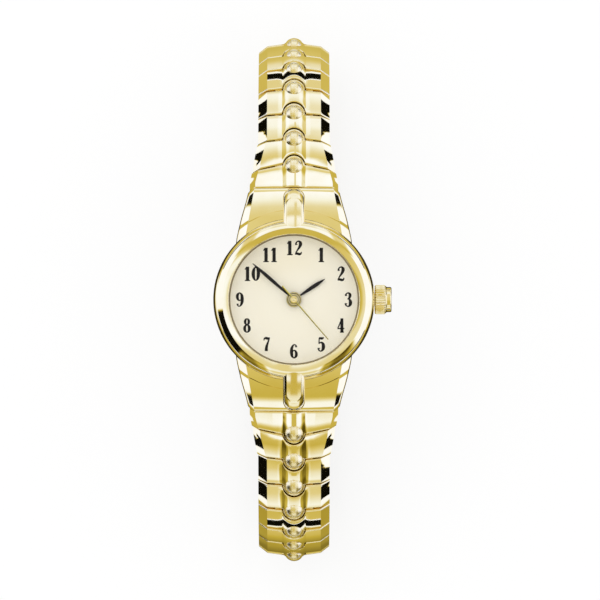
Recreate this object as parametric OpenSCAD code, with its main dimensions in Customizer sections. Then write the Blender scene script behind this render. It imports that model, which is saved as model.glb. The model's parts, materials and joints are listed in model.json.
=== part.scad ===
// Small round dress watch on a closed, beaded expanding bracelet.
// Millimetres. The origin is the centre of the case back's outer face,
// +Z points out of the dial, +Y to twelve o'clock and +X to three o'clock.

/* [Case] */
// Radius of the round case band under the bezel
band_r = 10.6; // [10.4:0.1:10.8]
// Height of the band's lower edge above the case back's face
band_base = 0.5; // [0.4:0.1:0.7]
// Radius of the bore that holds the movement and the dial
bore_r = 9.25; // [9.2:0.05:9.3]
// Thickness of the case back
back_t = 0.8; // [0.7:0.05:0.82]
// Height where the bezel sits on the band
bezel_base = 4.4; // [4.4:0.05:4.5]
// Outer radius of the bezel
bezel_r = 11; // [10.9:0.1:11.2]
// Height of the bezel's highest edge
bezel_top = 6.8; // [6.7:0.05:7]
// Radius where the bezel's outer slope meets its inner ring
bezel_crest_r = 9.8; // [9.75:0.05:10]
// Radius of the glass that shows inside the bezel
glass_r = 8.8; // [8.7:0.05:8.85]
// Thickness of the glass at its edge
glass_t = 0.95; // [0.9:0.05:1]

/* [Hoods over the bracelet ends] */
// Distance of the end hinge from the case centre
end_y = 15.75; // [15.7:0.05:15.9]
// Height of the end hinge above the case back's face
end_z = 2.2; // [2.1:0.05:2.3]
// Half width of a hood at its outer end
hood_end_w = 6.05; // [6:0.05:6.1]
// Radius of the hood's curved top
hood_top_r = 24; // [23:0.5:26]
// Half width of the rounded rib along the middle of a hood
hood_rib_w = 1.5; // [1.4:0.05:1.55]
// Height of the rib above the hood at its outer end
hood_rib_h = 0.6; // [0.5:0.05:0.7]
// Distance of the rib's outer end from the case centre
hood_rib_end = 15.3; // [15.2:0.05:15.35]
// Radius of the raised land round the bezel
land_r = 12.3; // [12.1:0.1:12.5]

/* [Bracelet] */
// Distance between the hinges of one link
pitch = 3.9; // [3.88:0.01:3.92]
// Distance between the hinges of the short end link
end_pitch = 2.6; // [2.56:0.01:2.64]
// Half width of a plain link
link_w = 4.9; // [4.8:0.05:5]
// Half width of the end link at its outer hinge
end_link_w = 5.6; // [5.5:0.05:5.7]
// Width of the bevel on each side of a plain link
bevel_w = 1.2; // [1.1:0.05:1.3]
// Width of the bevel on each side of the bracelet at the hood
end_bevel_w = 0.75; // [0.7:0.05:0.8]
// Radius of a hinge barrel at its middle
barrel_r = 1.35; // [1.32:0.01:1.38]
// Depth of a link below its hinge line
tray_d = 1.6; // [1.55:0.05:1.7]
// Radius of a bead
bead_r = 1.175; // [1.1:0.025:1.2]
// Height of a bead's centre above the hinge line
bead_z = 0.85; // [0.8:0.05:0.9]
// Distance of a bead's centre before the hinge
bead_back = 0.3; // [0.25:0.05:0.35]
// Radius of the collar round a bead
collar_r = 1.55; // [1.5:0.025:1.6]
// Radius of a hinge pin
pin_r = 0.4; // [0.36:0.02:0.42]

/* [Crown] */
// Radius of the crown's fluted drum
crown_r = 2; // [1.9:0.05:2]
// Length of the fluted drum
crown_drum = 1.45; // [1.3:0.05:1.5]
// Radius of the crown's smooth cap
crown_cap_r = 1.72; // [1.6:0.02:1.8]
// Whole length of the crown
crown_len = 2.3; // [2.2:0.05:2.4]
// Height of the stem above the case back's face
stem_z = 2.4; // [2.38:0.01:2.4]
// Radius of the stem
stem_r = 0.35; // [0.33:0.01:0.36]

/* [Dial and hands] */
// Thickness of the dial
dial_t = 0.4; // [0.35:0.05:0.45]
// Height of the dial's face
dial_z = 4; // [3.98:0.01:4.02]
// Length of the hour hand
hour_len = 5.06; // [4.8:0.05:5.4]
// Length of the minute hand
minute_len = 7.5; // [7.2:0.05:7.8]
// Length of the second hand
second_len = 7.16; // [6.8:0.05:7.6]
// Length of the second hand's tail
second_tail = 2.45; // [2:0.05:2.6]
// Time shown, in hours with their fraction
hour_shown = 1.865; // [0:0.001:11.999]
// Seconds shown
seconds_shown = 23.3; // [0:0.1:59.9]

/* [Movement] */
// Distance from the centre to the third wheel
train_d = 2.3; // [2.28:0.01:2.32]
// Distance from the centre to the intermediate wheel
inter_d = 2; // [1.99:0.01:2.01]
// Distance from the intermediate wheel to the rotor
rotor_d = 1.96; // [1.94:0.01:1.98]
// Distance from the centre to the minute wheel under the dial
motion_d = 2.4; // [2.38:0.01:2.42]
// Radius of the battery
cell_r = 2.9; // [2.8:0.02:2.92]
// Thickness of the battery
cell_t = 1.6; // [1.4:0.05:1.6]

/* [Hidden] */
side_links = 17;
$fn = 48;

// Clearances
fit_gap = 0.02;      // between pieces of one assembly that are pressed or glued together
run_gap = 0.04;      // between an arbor or a pin and its bore
hinge_gap = 0.05;    // between a hinge barrel and the next link's socket
open_gap = 0.35;     // extra room in the centre link's far socket, where the ring is open
seat_gap = 0.05;     // between pieces that drop into one another
over = 0.5;          // how far a cutter runs past what it cuts

module gold() { color([0.83, 0.68, 0.22]) children(); }
module steel() { color([0.72, 0.73, 0.75]) children(); }
module brass() { color([0.80, 0.66, 0.35]) children(); }

// BRACELET

// Slope of each link below the dial's plane, from the case to the back of the ring, in degrees.
// The first seven follow the photograph.
drawn_slopes = [17, 21, 25, 33, 48, 63, 67, 94, 118, 146, 168, 180, 180, 180, 180, 180, 180];

// The ring closes when its bend turns a little further, each link by its share of the turn
turn_share = [0, 0, 0, 0.15, 0.35, 0.6, 0.85, 1, 1, 0.7, 0.35, 0, 0, 0, 0, 0, 0];
ring_gap = 0.0858;   // play between the last hinge and the centre link
function link_pitch(i) = i == 1 ? end_pitch : pitch;
function slope_at(i, turn) = drawn_slopes[i - 1] + turn * turn_share[i - 1];
function last_y(turn, i = side_links) = i == 0 ? end_y
    : last_y(turn, i - 1) + link_pitch(i) * cos(slope_at(i, turn));
function closing_turn(turn = 0, steps = 8) = steps == 0 ? turn
    : closing_turn(turn - (last_y(turn) - pitch / 2 - ring_gap)
        / (100 * (last_y(turn + 0.01) - last_y(turn))), steps - 1);
ring_turn = closing_turn();
slopes = [for (i = [1 : side_links]) slope_at(i, ring_turn)];

// Place of a hinge as [y, z], counted from the case. Hinge 0 is in the hood.
function hinge_at(i) = i == 0 ? [end_y, end_z]
    : hinge_at(i - 1) + link_pitch(i) * [cos(slopes[i - 1]), -sin(slopes[i - 1])];

// Half width of the bracelet at a hinge, and the width of its side bevels there
function half_w(i) = i == 0 ? hood_end_w : i == 1 ? end_link_w : link_w;
function bevel_at(i) = i == 0 ? end_bevel_w : i == 1 ? (end_bevel_w + bevel_w) / 2 : bevel_w;

// The top outline across a link, as [x, height over the hinge line]
rib_w = 1.45;        // half width of the flat rib between the beads
rib_drop = 0.1;      // fall from the middle to the rib's edge
panel_drop = 0.5;    // fall from the middle to the panel's edge
edge_r = 0.05;       // height of the outer edge
function top_half(w, b, grow = 0) = [
    [0, barrel_r + grow], [rib_w, barrel_r - rib_drop + grow],
    [w - b, barrel_r - panel_drop + grow], [w, edge_r + grow]];
function both_sides(pts) = concat([for (i = [len(pts) - 1 : -1 : 1]) [-pts[i].x, pts[i].y]], pts);

// A hinge barrel is the top outline turned about the hinge
module barrel(w, b, grow = 0, reach = 0) {
    outline = both_sides(top_half(w, b, grow));
    rotate([0, 90, 0]) rotate_extrude($fn = 64) polygon(concat(
        [[0, -w - reach], [edge_r + grow, -w - reach]],
        [for (q = outline) [q.y, q.x]],
        [[edge_r + grow, w + reach], [0, w + reach]]));
}
module barrel_room(i, extra = 0) {
    barrel(half_w(i), bevel_at(i), hinge_gap + extra, 1);
}
module across(r, half, fn = 32) {
    rotate([0, 90, 0]) cylinder(r = r, h = 2 * half, center = true, $fn = fn);
}

// Cover, with the beads and the barrel of the far hinge
cover_base = -0.05;
function cover_outline(w, b) = concat([[-w, cover_base]], both_sides(top_half(w, b)), [[w, cover_base]]);
module cover_slab(w, b, y, thick) {
    translate([0, y, 0]) rotate([90, 0, 0]) linear_extrude(thick) polygon(cover_outline(w, b));
}
// Cutter above a bevel, along a panel's edge that runs between two points
module bevel_cut(from, to, slope) {
    run = to - from;
    translate(from) rotate([0, 0, atan2(-run.x, run.y)])
        rotate([atan2(run.z, norm([run.x, run.y])), 0, 0]) rotate([0, slope, 0])
        translate([0, -8, 0]) cube([5, 20, 5]);
}
// A cover that narrows keeps the slope of its far panel and is cut to its plan
module cover_taper(near, far, len) {
    fall = (panel_drop - rib_drop) / (half_w(far) - bevel_at(far) - rib_w);
    rib_top = barrel_r - rib_drop;
    wide = half_w(near) + over;
    near_in = half_w(near) - bevel_at(near);
    far_in = half_w(far) - bevel_at(far) - fit_gap;
    near_pt = [near_in, 0, rib_top - fall * (near_in - rib_w)];
    far_pt = [far_in, len, rib_top - fall * (far_in - rib_w)];
    slope = atan((barrel_r - panel_drop - edge_r) / bevel_at(far));
    half = [[0, barrel_r], [rib_w, rib_top], [wide, rib_top - fall * (wide - rib_w)]];
    difference() {
        intersection() {
            translate([0, len, 0]) rotate([90, 0, 0]) linear_extrude(len)
                polygon(concat([[-wide, cover_base]], both_sides(half), [[wide, cover_base]]));
            translate([0, 0, -1]) linear_extrude(3) polygon([
                [-half_w(near), 0], [half_w(near), 0],
                [half_w(far) - fit_gap, len], [fit_gap - half_w(far), len]]);
        }
        bevel_cut(near_pt, far_pt, slope);
        mirror([1, 0, 0]) bevel_cut(near_pt, far_pt, slope);
    }
}

collar_base = 0.98;  // height of the collar's underside over the hinge line
collar_t = 0.42;     // thickness of the collar
collar_slope = 0.05; // how much its edge leans in
collar_room = 0.2;   // room round it in the next link
module bead_on(len) {
    translate([0, len - bead_back, 0]) {
        translate([0, 0, bead_z]) sphere(r = bead_r);
        translate([0, 0, collar_base])
            cylinder(r1 = collar_r + collar_slope, r2 = collar_r - collar_slope, h = collar_t);
    }
}
module collar_recess(y) {
    translate([0, y, collar_base - collar_room])
        cylinder(r = collar_r + collar_room, h = barrel_r + over);
}

// Each link's tray reaches back with two lugs, which turn in slots under the last link's barrel
lug_in = 1.6;        // distance of a lug's inner face from the middle
lug_out = 2.6;       // distance of its outer face
lug_r = 0.72;        // radius of its eye
lug_gap = 0.06;      // room round it in its slot
lug_rise = 0.12;     // how far its slot is open above the hinge line
module lug_slots() {
    for (s = [-1, 1]) translate([s * (lug_in + lug_out) / 2, 0, 0]) {
        across(lug_r + lug_gap, (lug_out - lug_in) / 2 + lug_gap);
        translate([(lug_in - lug_out) / 2 - lug_gap, -0.1, -tray_d - over])
            cube([lug_out - lug_in + 2 * lug_gap, barrel_r + over, tray_d + over + lug_rise]);
    }
}
pin_half = 3;        // half length of a hinge pin
module pin_hole() { across(pin_r + run_gap, pin_half + seat_gap); }

module cover(near, far, len, bead) {
    difference() {
        union() {
            if (half_w(near) > half_w(far)) cover_taper(near, far, len);
            else cover_slab(half_w(far), bevel_at(far), len, len);
            if (bead) {
                translate([0, len, 0]) barrel(half_w(far), bevel_at(far));
                bead_on(len);
            }
        }
        barrel_room(near);
        if (near > 0) collar_recess(-bead_back);
        if (bead) {
            translate([0, len, 0]) lug_slots();
            translate([0, len, 0]) pin_hole();
        } else {
            translate([0, len, 0]) barrel_room(far, open_gap);
            translate([0, 0, -open_gap / 2]) collar_recess(len + bead_back - open_gap);
        }
    }
}

// Tray: the lower half of a link, with sloped ends that leave room for it to curl
curl_half = 16;      // half of the largest angle between two links, in degrees
tray_in = 0.55;      // how far a tray stands in from the cover's edge
tray_gap = 0.03;     // between a tray and its cover
tray_edge = 0.4;     // chamfer along a tray's lower edges
tray_top = cover_base - tray_gap;
function tray_back(depth) = depth * tan(curl_half) + hinge_gap / 2;
module tray_block(w, len) {
    intersection() {
        translate([-w, 0, 0]) rotate([90, 0, 90]) linear_extrude(2 * w) polygon([
            [tray_back(-tray_top), tray_top], [tray_back(tray_d), -tray_d],
            [len - tray_back(tray_d), -tray_d], [len - tray_back(-tray_top), tray_top]]);
        translate([0, len, 0]) rotate([90, 0, 0]) linear_extrude(len) polygon([
            [-w, tray_top], [-w, tray_edge - tray_d], [tray_edge - w, -tray_d],
            [w - tray_edge, -tray_d], [w, tray_edge - tray_d], [w, tray_top]]);
    }
}
module tray(near, far, len, extra) {
    difference() {
        union() {
            difference() {
                tray_block(min(half_w(near), half_w(far)) - tray_in, len);
                barrel_room(near);
            }
            for (s = [-1, 1]) translate([s * (lug_in + lug_out) / 2, 0, 0]) {
                across(lug_r, (lug_out - lug_in) / 2);
                translate([(lug_in - lug_out) / 2, 0, -lug_r])
                    cube([lug_out - lug_in, barrel_r + over, lug_r + tray_top]);
            }
        }
        translate([0, len, 0]) barrel_room(far, extra);
        across(pin_r + fit_gap, link_w);
    }
}
module pin() { across(pin_r, pin_half); }

module link(near, far, len, bead = true) {
    gold() cover(near, far, len, bead);
    gold() tray(near, far, len, bead ? 0 : open_gap);
    steel() pin();
}
module place_link(i) {
    at = hinge_at(i - 1);
    slope = i <= side_links ? slopes[i - 1] : 180;
    translate([0, at.x, at.y]) rotate([-slope, 0, 0]) children();
}
module link_north(i) { place_link(i) link(i - 1, i, link_pitch(i)); }
module link_south(i) { mirror([0, 1, 0]) link_north(i); }
module link_centre() { place_link(side_links + 1) link(side_links, side_links, pitch, false); }

// CASE

wall_z = dial_z + 0.02;       // underside of the rim that holds the dial
rim_r = 8.9;                  // inner radius of that rim
neck_r = 9.6;                 // outer radius of the neck inside the bezel
neck_top = 5.55;              // height of the neck, which carries the glass
back_r = 9.9;                 // radius of the case back
band_chamfer = 0.3;
hood_mid_y = 8;               // where the hood's top is highest
tube_r = 0.8;                 // radius of the tube that the crown slides over
tube_end = 11.9;              // distance of its end from the centre
crown_x = bezel_r + 0.05;     // inner face of the crown
crown_bore_r = 0.9;
crown_bore_len = 1.3;

// Height of the centre of the hood's curved top, which runs smoothly into the end barrel
hood_mid_z = end_z - sqrt(pow(hood_top_r - barrel_r, 2) - pow(end_y - hood_mid_y, 2));
panel_slope = (panel_drop - rib_drop) / (hood_end_w - end_bevel_w - rib_w);

// Right edge of a hood, from the band to the end hinge
hood_side = [[8.3, 0], [7.95, 7.85], [7.6, 9.5], [7.2, 11.2], [6.7, 12.9], [6.35, 14.2]];
hood_reach = hood_side[0].x + over / 2;
hood_fall = rib_drop + panel_slope * (hood_reach - rib_w);
hood_panel_w = 6.75;          // half width of the hood's panel beside the bezel
bevel_slope = atan((barrel_r - panel_drop - edge_r) / end_bevel_w);

module hood_curve(grow) {
    r = hood_top_r + grow;
    translate([0, hood_mid_y, hood_mid_z]) rotate([0, 90, 0]) rotate_extrude($fn = 180) polygon([
        [0, -hood_reach], [r - hood_fall, -hood_reach], [r - rib_drop, -rib_w], [r, 0],
        [r - rib_drop, rib_w], [r - hood_fall, hood_reach], [0, hood_reach]]);
}
module hood_plan() {
    right = concat(hood_side, [[hood_end_w, end_y]]);
    translate([0, 0, end_z - tray_d]) linear_extrude(bezel_top)
        polygon(concat(right, [for (i = [len(right) - 1 : -1 : 0]) [-right[i].x, right[i].y]]));
}
// Cutter above the sloped bevel on one side of a hood
module hood_bevel() {
    bevel_cut([hood_panel_w, hood_side[1].y,
               hood_mid_z + hood_top_r - rib_drop - panel_slope * (hood_panel_w - rib_w)],
              [hood_end_w - end_bevel_w, end_y, end_z + barrel_r - panel_drop], bevel_slope);
}
module hood() {
    difference() {
        union() {
            difference() {
                intersection() {
                    hood_plan();
                    union() {
                        hood_curve(0);
                        intersection() {
                            hood_curve(0.12);
                            cylinder(r = land_r, h = bezel_top, $fn = 96);
                        }
                    }
                }
                hood_bevel();
                mirror([1, 0, 0]) hood_bevel();
                // room for the end link to curl down
                translate([-hood_reach, 0, 0]) rotate([90, 0, 90]) linear_extrude(2 * hood_reach)
                    polygon([[end_y, end_z], [end_y + over, end_z], [end_y + over, -over],
                             [end_y - tray_back(end_z + over), -over]]);
            }
            translate([0, end_y, end_z]) barrel(hood_end_w, end_bevel_w);
        }
        translate([0, end_y, end_z]) {
            lug_slots();
            pin_hole();
        }
    }
}

// The rib rises from the hood's end over the bezel's slope to its inner ring
rib_top_r = 1.8;              // radius of its rounded top, across
rib_arc_r = 16;               // radius of its top line, along
rib_inner = [bezel_crest_r, bezel_top - 0.08];
rib_outer = [hood_rib_end,
    hood_mid_z + sqrt(pow(hood_top_r, 2) - pow(hood_rib_end - hood_mid_y, 2)) + hood_rib_h];
rib_run = rib_outer - rib_inner;
rib_mid = (rib_outer + rib_inner) / 2
    + sqrt(pow(rib_arc_r, 2) - rib_run * rib_run / 4) * [rib_run.y, -rib_run.x] / norm(rib_run);
rib_sink = -0.6;              // how far its foot goes into the band and the hood
module rib_room(gap) {
    difference() {
        translate([0, 0, bezel_base - gap]) linear_extrude(bezel_top) {
            translate([-hood_rib_w - gap, 0]) square([2 * (hood_rib_w + gap), hood_rib_end - hood_rib_w]);
            translate([0, hood_rib_end - hood_rib_w]) circle(r = hood_rib_w + gap, $fn = 48);
        }
        translate([0, 0, -over]) cylinder(r = bezel_crest_r + fit_gap - gap, h = 3 * bezel_top, $fn = 120);
    }
}
module rib() {
    intersection() {
        translate([0, 0, rib_sink]) rib_room(0);
        translate([0, rib_mid.x, rib_mid.y]) rotate([0, 90, 0]) rotate_extrude($fn = 180)
            intersection() {
                translate([rib_arc_r - rib_top_r, 0]) circle(r = rib_top_r, $fn = 64);
                translate([rib_arc_r - rib_top_r, -hood_rib_w])
                    square([2 * rib_top_r, 2 * hood_rib_w]);
            }
    }
}
module case_body() gold() difference() {
    union() {
        rotate_extrude($fn = 120) polygon([
            [0, band_base], [band_r - band_chamfer, band_base], [band_r, band_base + band_chamfer],
            [band_r, bezel_base], [neck_r, bezel_base], [neck_r, neck_top], [0, neck_top]]);
        difference() {
            union() {
                hood();
                mirror([0, 1, 0]) hood();
            }
            translate([0, 0, bezel_base]) cylinder(r = bezel_r + seat_gap, h = bezel_top, $fn = 120);
        }
        rib();
        mirror([0, 1, 0]) rib();
        translate([0, 0, stem_z]) rotate([0, 90, 0]) cylinder(r = tube_r, h = tube_end);
        rotate_extrude($fn = 120) polygon([
            [0, bezel_base - over], [neck_r, bezel_base - over], [neck_r, neck_top], [0, neck_top]]);
    }
    translate([0, 0, -over]) cylinder(r = back_r + seat_gap, h = over + back_t + fit_gap, $fn = 120);
    cylinder(r = bore_r, h = wall_z, $fn = 120);
    cylinder(r = rim_r, h = bezel_top, $fn = 120);
    translate([bore_r - over, 0, stem_z]) rotate([0, 90, 0])
        cylinder(r = stem_r + run_gap, h = tube_end);
}

module bezel() gold() {
    slope_steps = 8;
    slope_base = 4.9;
    ring_drop = 0.3;
    lip_z = neck_top + 0.65;
    difference() {
        rotate_extrude($fn = 120) polygon(concat(
            [[neck_r + seat_gap, bezel_base + fit_gap], [bezel_r, bezel_base + fit_gap]],
            [for (k = [0 : slope_steps]) let(a = 90 * k / slope_steps)
                [bezel_crest_r + (bezel_r - bezel_crest_r) * cos(a),
                 slope_base + (bezel_top - slope_base) * sin(a)]],
            [[glass_r + seat_gap, bezel_top - ring_drop], [glass_r + seat_gap, lip_z],
             [glass_r + 0.55, lip_z], [glass_r + 0.55, neck_top + fit_gap],
             [neck_r + seat_gap, neck_top + fit_gap]]));
        rib_room(fit_gap);
        mirror([0, 1, 0]) rib_room(fit_gap);
    }
}

module crystal() color([0.85, 0.92, 0.95, 0.35]) {
    flange_r = glass_r + 0.5;
    flange_t = 0.57;
    dome = 0.2;
    steps = 6;
    translate([0, 0, neck_top + fit_gap]) rotate_extrude($fn = 120) polygon(concat(
        [[0, 0], [flange_r, 0], [flange_r, flange_t], [glass_r, flange_t]],
        [for (k = [steps : -1 : 0]) let(u = k / steps) [glass_r * u, glass_t + dome * (1 - u * u)]]));
}

module case_back() steel() difference() {
    union() {
        cylinder(r = back_r, h = back_t, $fn = 120);
        cylinder(r = bore_r - seat_gap, h = back_t + 0.7, $fn = 120);
    }
    translate([0, 0, back_t]) cylinder(r = bore_r - 0.55, h = 1, $fn = 120);
}

// DIAL AND HANDS

hour_z = dial_z + 0.3;
minute_z = dial_z + 0.72;
second_z = dial_z + 1.12;
hand_t = 0.12;
second_arbor_r = 0.12;
cannon_r = 0.34;
cannon_bore_r = second_arbor_r + run_gap;
hour_bore_r = cannon_r + run_gap;
hour_tube_r = 0.58;
minute_shown = (hour_shown - floor(hour_shown)) * 60;

module dial() color([0.96, 0.94, 0.87]) {
    difference() {
        translate([0, 0, dial_z - dial_t]) cylinder(r = bore_r - seat_gap, h = dial_t, $fn = 120);
        translate([0, 0, dial_z - 1]) cylinder(r = hour_tube_r + 0.1, h = 2);
    }
    for (a = foot_angles) rotate(a) translate([foot_d, 0, dial_z - dial_t - 0.6])
        cylinder(r = foot_r, h = 0.7, $fn = 24);
}

// Slim leaf that is widest at two thirds of its length and points along +Y
module leaf(len, hub, half) {
    linear_extrude(hand_t) polygon([
        [half * 0.4, hub * 0.8], [half, len * 0.66], [0.03, len],
        [-0.03, len], [-half, len * 0.66], [-half * 0.4, hub * 0.8]]);
}
module hub(z, r, bore, t) {
    translate([0, 0, z]) difference() {
        cylinder(r = r, h = t);
        translate([0, 0, -over]) cylinder(r = bore, h = t + 2 * over);
    }
}
module hour_hand() color([0.08, 0.08, 0.08]) rotate(-hour_shown * 30) {
    hub(hour_z, 1.05, hour_tube_r + fit_gap, 0.22);
    translate([0, 0, hour_z]) leaf(hour_len, 1.05, 0.26);
}
module minute_hand() color([0.08, 0.08, 0.08]) rotate(-minute_shown * 6) {
    hub(minute_z, 0.8, cannon_r + fit_gap, 0.22);
    translate([0, 0, minute_z]) leaf(minute_len, 0.8, 0.24);
}
module second_hand() gold() rotate(-seconds_shown * 6) {
    difference() {
        union() {
            translate([0, 0, second_z - 0.1]) cylinder(r = 0.5, h = 0.26);
            translate([0, 0, second_z]) linear_extrude(hand_t * 0.8) polygon([
                [0.09, -second_tail], [0.06, second_len], [-0.06, second_len], [-0.09, -second_tail]]);
        }
        translate([0, 0, second_z - over]) cylinder(r = second_arbor_r + fit_gap, h = over + 0.1);
    }
}

// MOVEMENT

plate_z = 2;                  // underside of the main plate
plate_t = 0.8;
plate_top = plate_z + plate_t;
bridge_z = 0.98;
bridge_t = 0.27;
arbor_r = 0.1;
cal = inter_d / 2;            // scale of the calibre's flat outlines
foot_angles = [100, 280];
foot_d = 8.2;
foot_r = 0.3;
third_at = train_d * [cos(20), sin(20)];
inter_at = inter_d * [cos(150), sin(150)];
rotor_at = inter_at + rotor_d * [cos(170), sin(170)];
minute_at = motion_d * [cos(-25), sin(-25)];
cell_at = cal * [-4.2, -3];
screw_at = cal * [[-0.2, 3.55], [4.9, 1.6], [0.9, -3.1]];
screw_r = 0.3;
post_r = 0.55;
coil_y = cal * 5.55;
coil_z = 1.5;
coil_half = cal * 2.8;
core_half = cal * 4.5;

// Teeth: the numbers of teeth give the train's ratios
rotor_teeth = 8;
inter_teeth = 48;
inter_leaves = 8;
second_teeth = 40;
second_leaves = 8;
third_teeth = 60;
third_leaves = 8;
centre_teeth = 64;
cannon_leaves = 12;
minute_teeth = 36;
minute_leaves = 10;
hour_teeth = 40;

function module_of(d, a, b) = 2 * d / (a + b);
rotor_m = module_of(rotor_d, rotor_teeth, inter_teeth);
inter_m = module_of(inter_d, inter_leaves, second_teeth);
second_m = module_of(train_d, second_leaves, third_teeth);
third_m = module_of(train_d, third_leaves, centre_teeth);
cannon_m = module_of(motion_d, cannon_leaves, minute_teeth);
minute_m = module_of(motion_d, minute_leaves, hour_teeth);

// Four points to a tooth, as [turn in tooth pitches, radius in modules beyond the pitch circle]
tooth = [[-0.27, -1.1], [-0.12, 0.8], [0.12, 0.8], [0.27, -1.1]];
module gear(teeth, m, z, t) {
    translate([0, 0, z]) linear_extrude(t) polygon([
        for (i = [0 : teeth - 1]) for (q = tooth)
            (m * teeth / 2 + q.y * m) * [cos(360 * (i + q.x) / teeth), sin(360 * (i + q.x) / teeth)]]);
}
// A gear turned so that it meets its neighbour, which lies at the angle a, with a tooth or a gap
module meet_tooth(teeth, m, z, t, a) { rotate(a) gear(teeth, m, z, t); }
module meet_gap(teeth, m, z, t, a) { rotate(a + 180 / teeth) gear(teeth, m, z, t); }
module arbor(at, z0, z1, r = arbor_r) {
    translate([at.x, at.y, z0]) cylinder(r = r, h = z1 - z0, $fn = 24);
}

inter_z = 1.38;
second_gear_z = 1.55;
third_z = 1.72;
centre_z = 1.87;
wheel_t = 0.1;
cannon_z = plate_top + 0.12;
minute_wheel_z = cannon_z + 0.02;
minute_pinion_z = cannon_z + 0.2;
hour_wheel_z = minute_pinion_z + 0.04;

module rotor() steel() {
    toward = 170 - 180;
    arbor(rotor_at, bridge_z + 0.1, plate_z + 0.3);
    translate(rotor_at) {
        meet_tooth(rotor_teeth, rotor_m, inter_z - 0.02, wheel_t + 0.04, toward);
        translate([0, 0, inter_z + 0.14]) cylinder(r = 0.55, h = 0.42, $fn = 32);
    }
}
module intermediate_wheel() brass() {
    arbor(inter_at, bridge_z + 0.1, plate_z + 0.3);
    translate(inter_at) {
        meet_gap(inter_teeth, rotor_m, inter_z, wheel_t, 170);
        meet_tooth(inter_leaves, inter_m, inter_z + wheel_t, 0.2, 150 + 180);
    }
}
module second_wheel() brass() {
    arbor([0, 0], bridge_z + 0.1, second_z + 0.08, second_arbor_r);
    meet_gap(second_teeth, inter_m, second_gear_z, wheel_t, 150);
    meet_tooth(second_leaves, second_m, second_gear_z + wheel_t, 0.19, 20);
}
module third_wheel() brass() {
    arbor(third_at, bridge_z + 0.1, plate_z + 0.3);
    translate(third_at) {
        meet_gap(third_teeth, second_m, third_z, wheel_t, 20 + 180);
        meet_tooth(third_leaves, third_m, third_z + wheel_t, 0.16, 20 + 180);
    }
}
module centre_wheel() brass() difference() {
    union() {
        meet_gap(centre_teeth, third_m, centre_z, wheel_t, 20);
        translate([0, 0, centre_z]) cylinder(r = cannon_r, h = minute_z + 0.2 - centre_z);
        meet_tooth(cannon_leaves, cannon_m, cannon_z, 0.16, -25);
    }
    translate([0, 0, centre_z - over]) cylinder(r = cannon_bore_r, h = minute_z);
}
module minute_wheel() brass() translate(minute_at) difference() {
    union() {
        meet_gap(minute_teeth, cannon_m, minute_wheel_z, wheel_t, -25 + 180);
        translate([0, 0, minute_wheel_z]) cylinder(r = 0.36, h = 0.4);
        meet_tooth(minute_leaves, minute_m, minute_pinion_z, 0.2, -25 + 180);
    }
    translate([0, 0, plate_z]) cylinder(r = motion_post_r + run_gap, h = 2);
}
motion_post_r = 0.22;
module hour_wheel() brass() difference() {
    union() {
        meet_gap(hour_teeth, minute_m, hour_wheel_z, wheel_t, -25);
        translate([0, 0, hour_wheel_z]) cylinder(r = hour_tube_r, h = hour_z + 0.2 - hour_wheel_z);
    }
    translate([0, 0, plate_z]) cylinder(r = hour_bore_r, h = 3);
}

lever_x = 5.6;                // near wall of the groove in the stem
lever_w = 1;                  // half width of the setting lever
groove_w = 0.35;
groove_r = 0.2;
rim_in = 7.2;                 // inner radius of the plate's upper rim, which carries the dial
skirt_in = 7.9;               // inner and outer radius of its lower skirt
skirt_out = 8.55;
module main_plate() color([0.90, 0.90, 0.86]) {
    plate_r = bore_r - seat_gap;
    difference() {
        union() {
            translate([0, 0, plate_z])
                cylinder(r = plate_r, h = dial_z - dial_t - fit_gap - plate_z, $fn = 96);
            translate([0, 0, bridge_z]) cylinder(r = skirt_out, h = plate_z - bridge_z, $fn = 96);
        }
        translate([0, 0, plate_top]) cylinder(r = rim_in, h = 2, $fn = 96);
        translate([0, 0, bridge_z - over])
            cylinder(r = skirt_in, h = plate_z - bridge_z + over, $fn = 96);
        translate([cell_at.x, cell_at.y, bridge_z - over])
            cylinder(r = cell_r + seat_gap, h = over + cell_t + 0.05);
        cylinder(r = cannon_r + 0.08, h = 4);
        for (p = [third_at, inter_at, rotor_at]) arbor(p, 1.9, plate_z + 0.35, arbor_r + run_gap);
        for (p = screw_at) arbor(p, 1.9, plate_z + 0.45, screw_r + fit_gap);
        for (a = foot_angles) rotate(a) translate([foot_d, 0, plate_top])
            cylinder(r = foot_r + 0.06, h = 1, $fn = 24);
        translate([3.6, -stem_r - 0.1, plate_z - 0.01]) cube([plate_r, 2 * stem_r + 0.2, plate_t + 0.02]);
    }
    for (p = screw_at) difference() {
        arbor(p, bridge_z + bridge_t + 0.01, plate_z, post_r);
        arbor(p, bridge_z, plate_z + 0.45, screw_r + fit_gap);
    }
    arbor(minute_at, plate_top - 0.1, minute_pinion_z + 0.22, motion_post_r);
}
module train_bridge() steel() difference() {
    translate([0, 0, bridge_z]) linear_extrude(bridge_t) polygon(cal * [
        [-4.5, 0.75], [-3, 0.35], [-0.75, -0.75], [0.1, -3.5], [1.6, -3.7], [2.1, -2.4], [5.3, 0.9],
        [5.5, 2.1], [4.6, 2.4], [0.5, 4], [-0.6, 4.2], [-1, 3.2], [-4.4, 2.1]]);
    for (p = [third_at, inter_at, rotor_at]) arbor(p, 0.5, 2, arbor_r + run_gap);
    arbor([0, 0], 0.5, 2, second_arbor_r + run_gap);
    for (p = screw_at) arbor(p, 0.5, 2, screw_r + 0.05);
}
module bridge_screws() steel() for (p = screw_at) {
    arbor(p, bridge_z - 0.02, plate_z + 0.4, screw_r);
    difference() {
        arbor(p, back_t + 0.04, bridge_z - 0.01, 0.5);
        translate([p.x - 1, p.y - 0.06, back_t]) cube([2, 0.12, 0.1]);
    }
}
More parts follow.
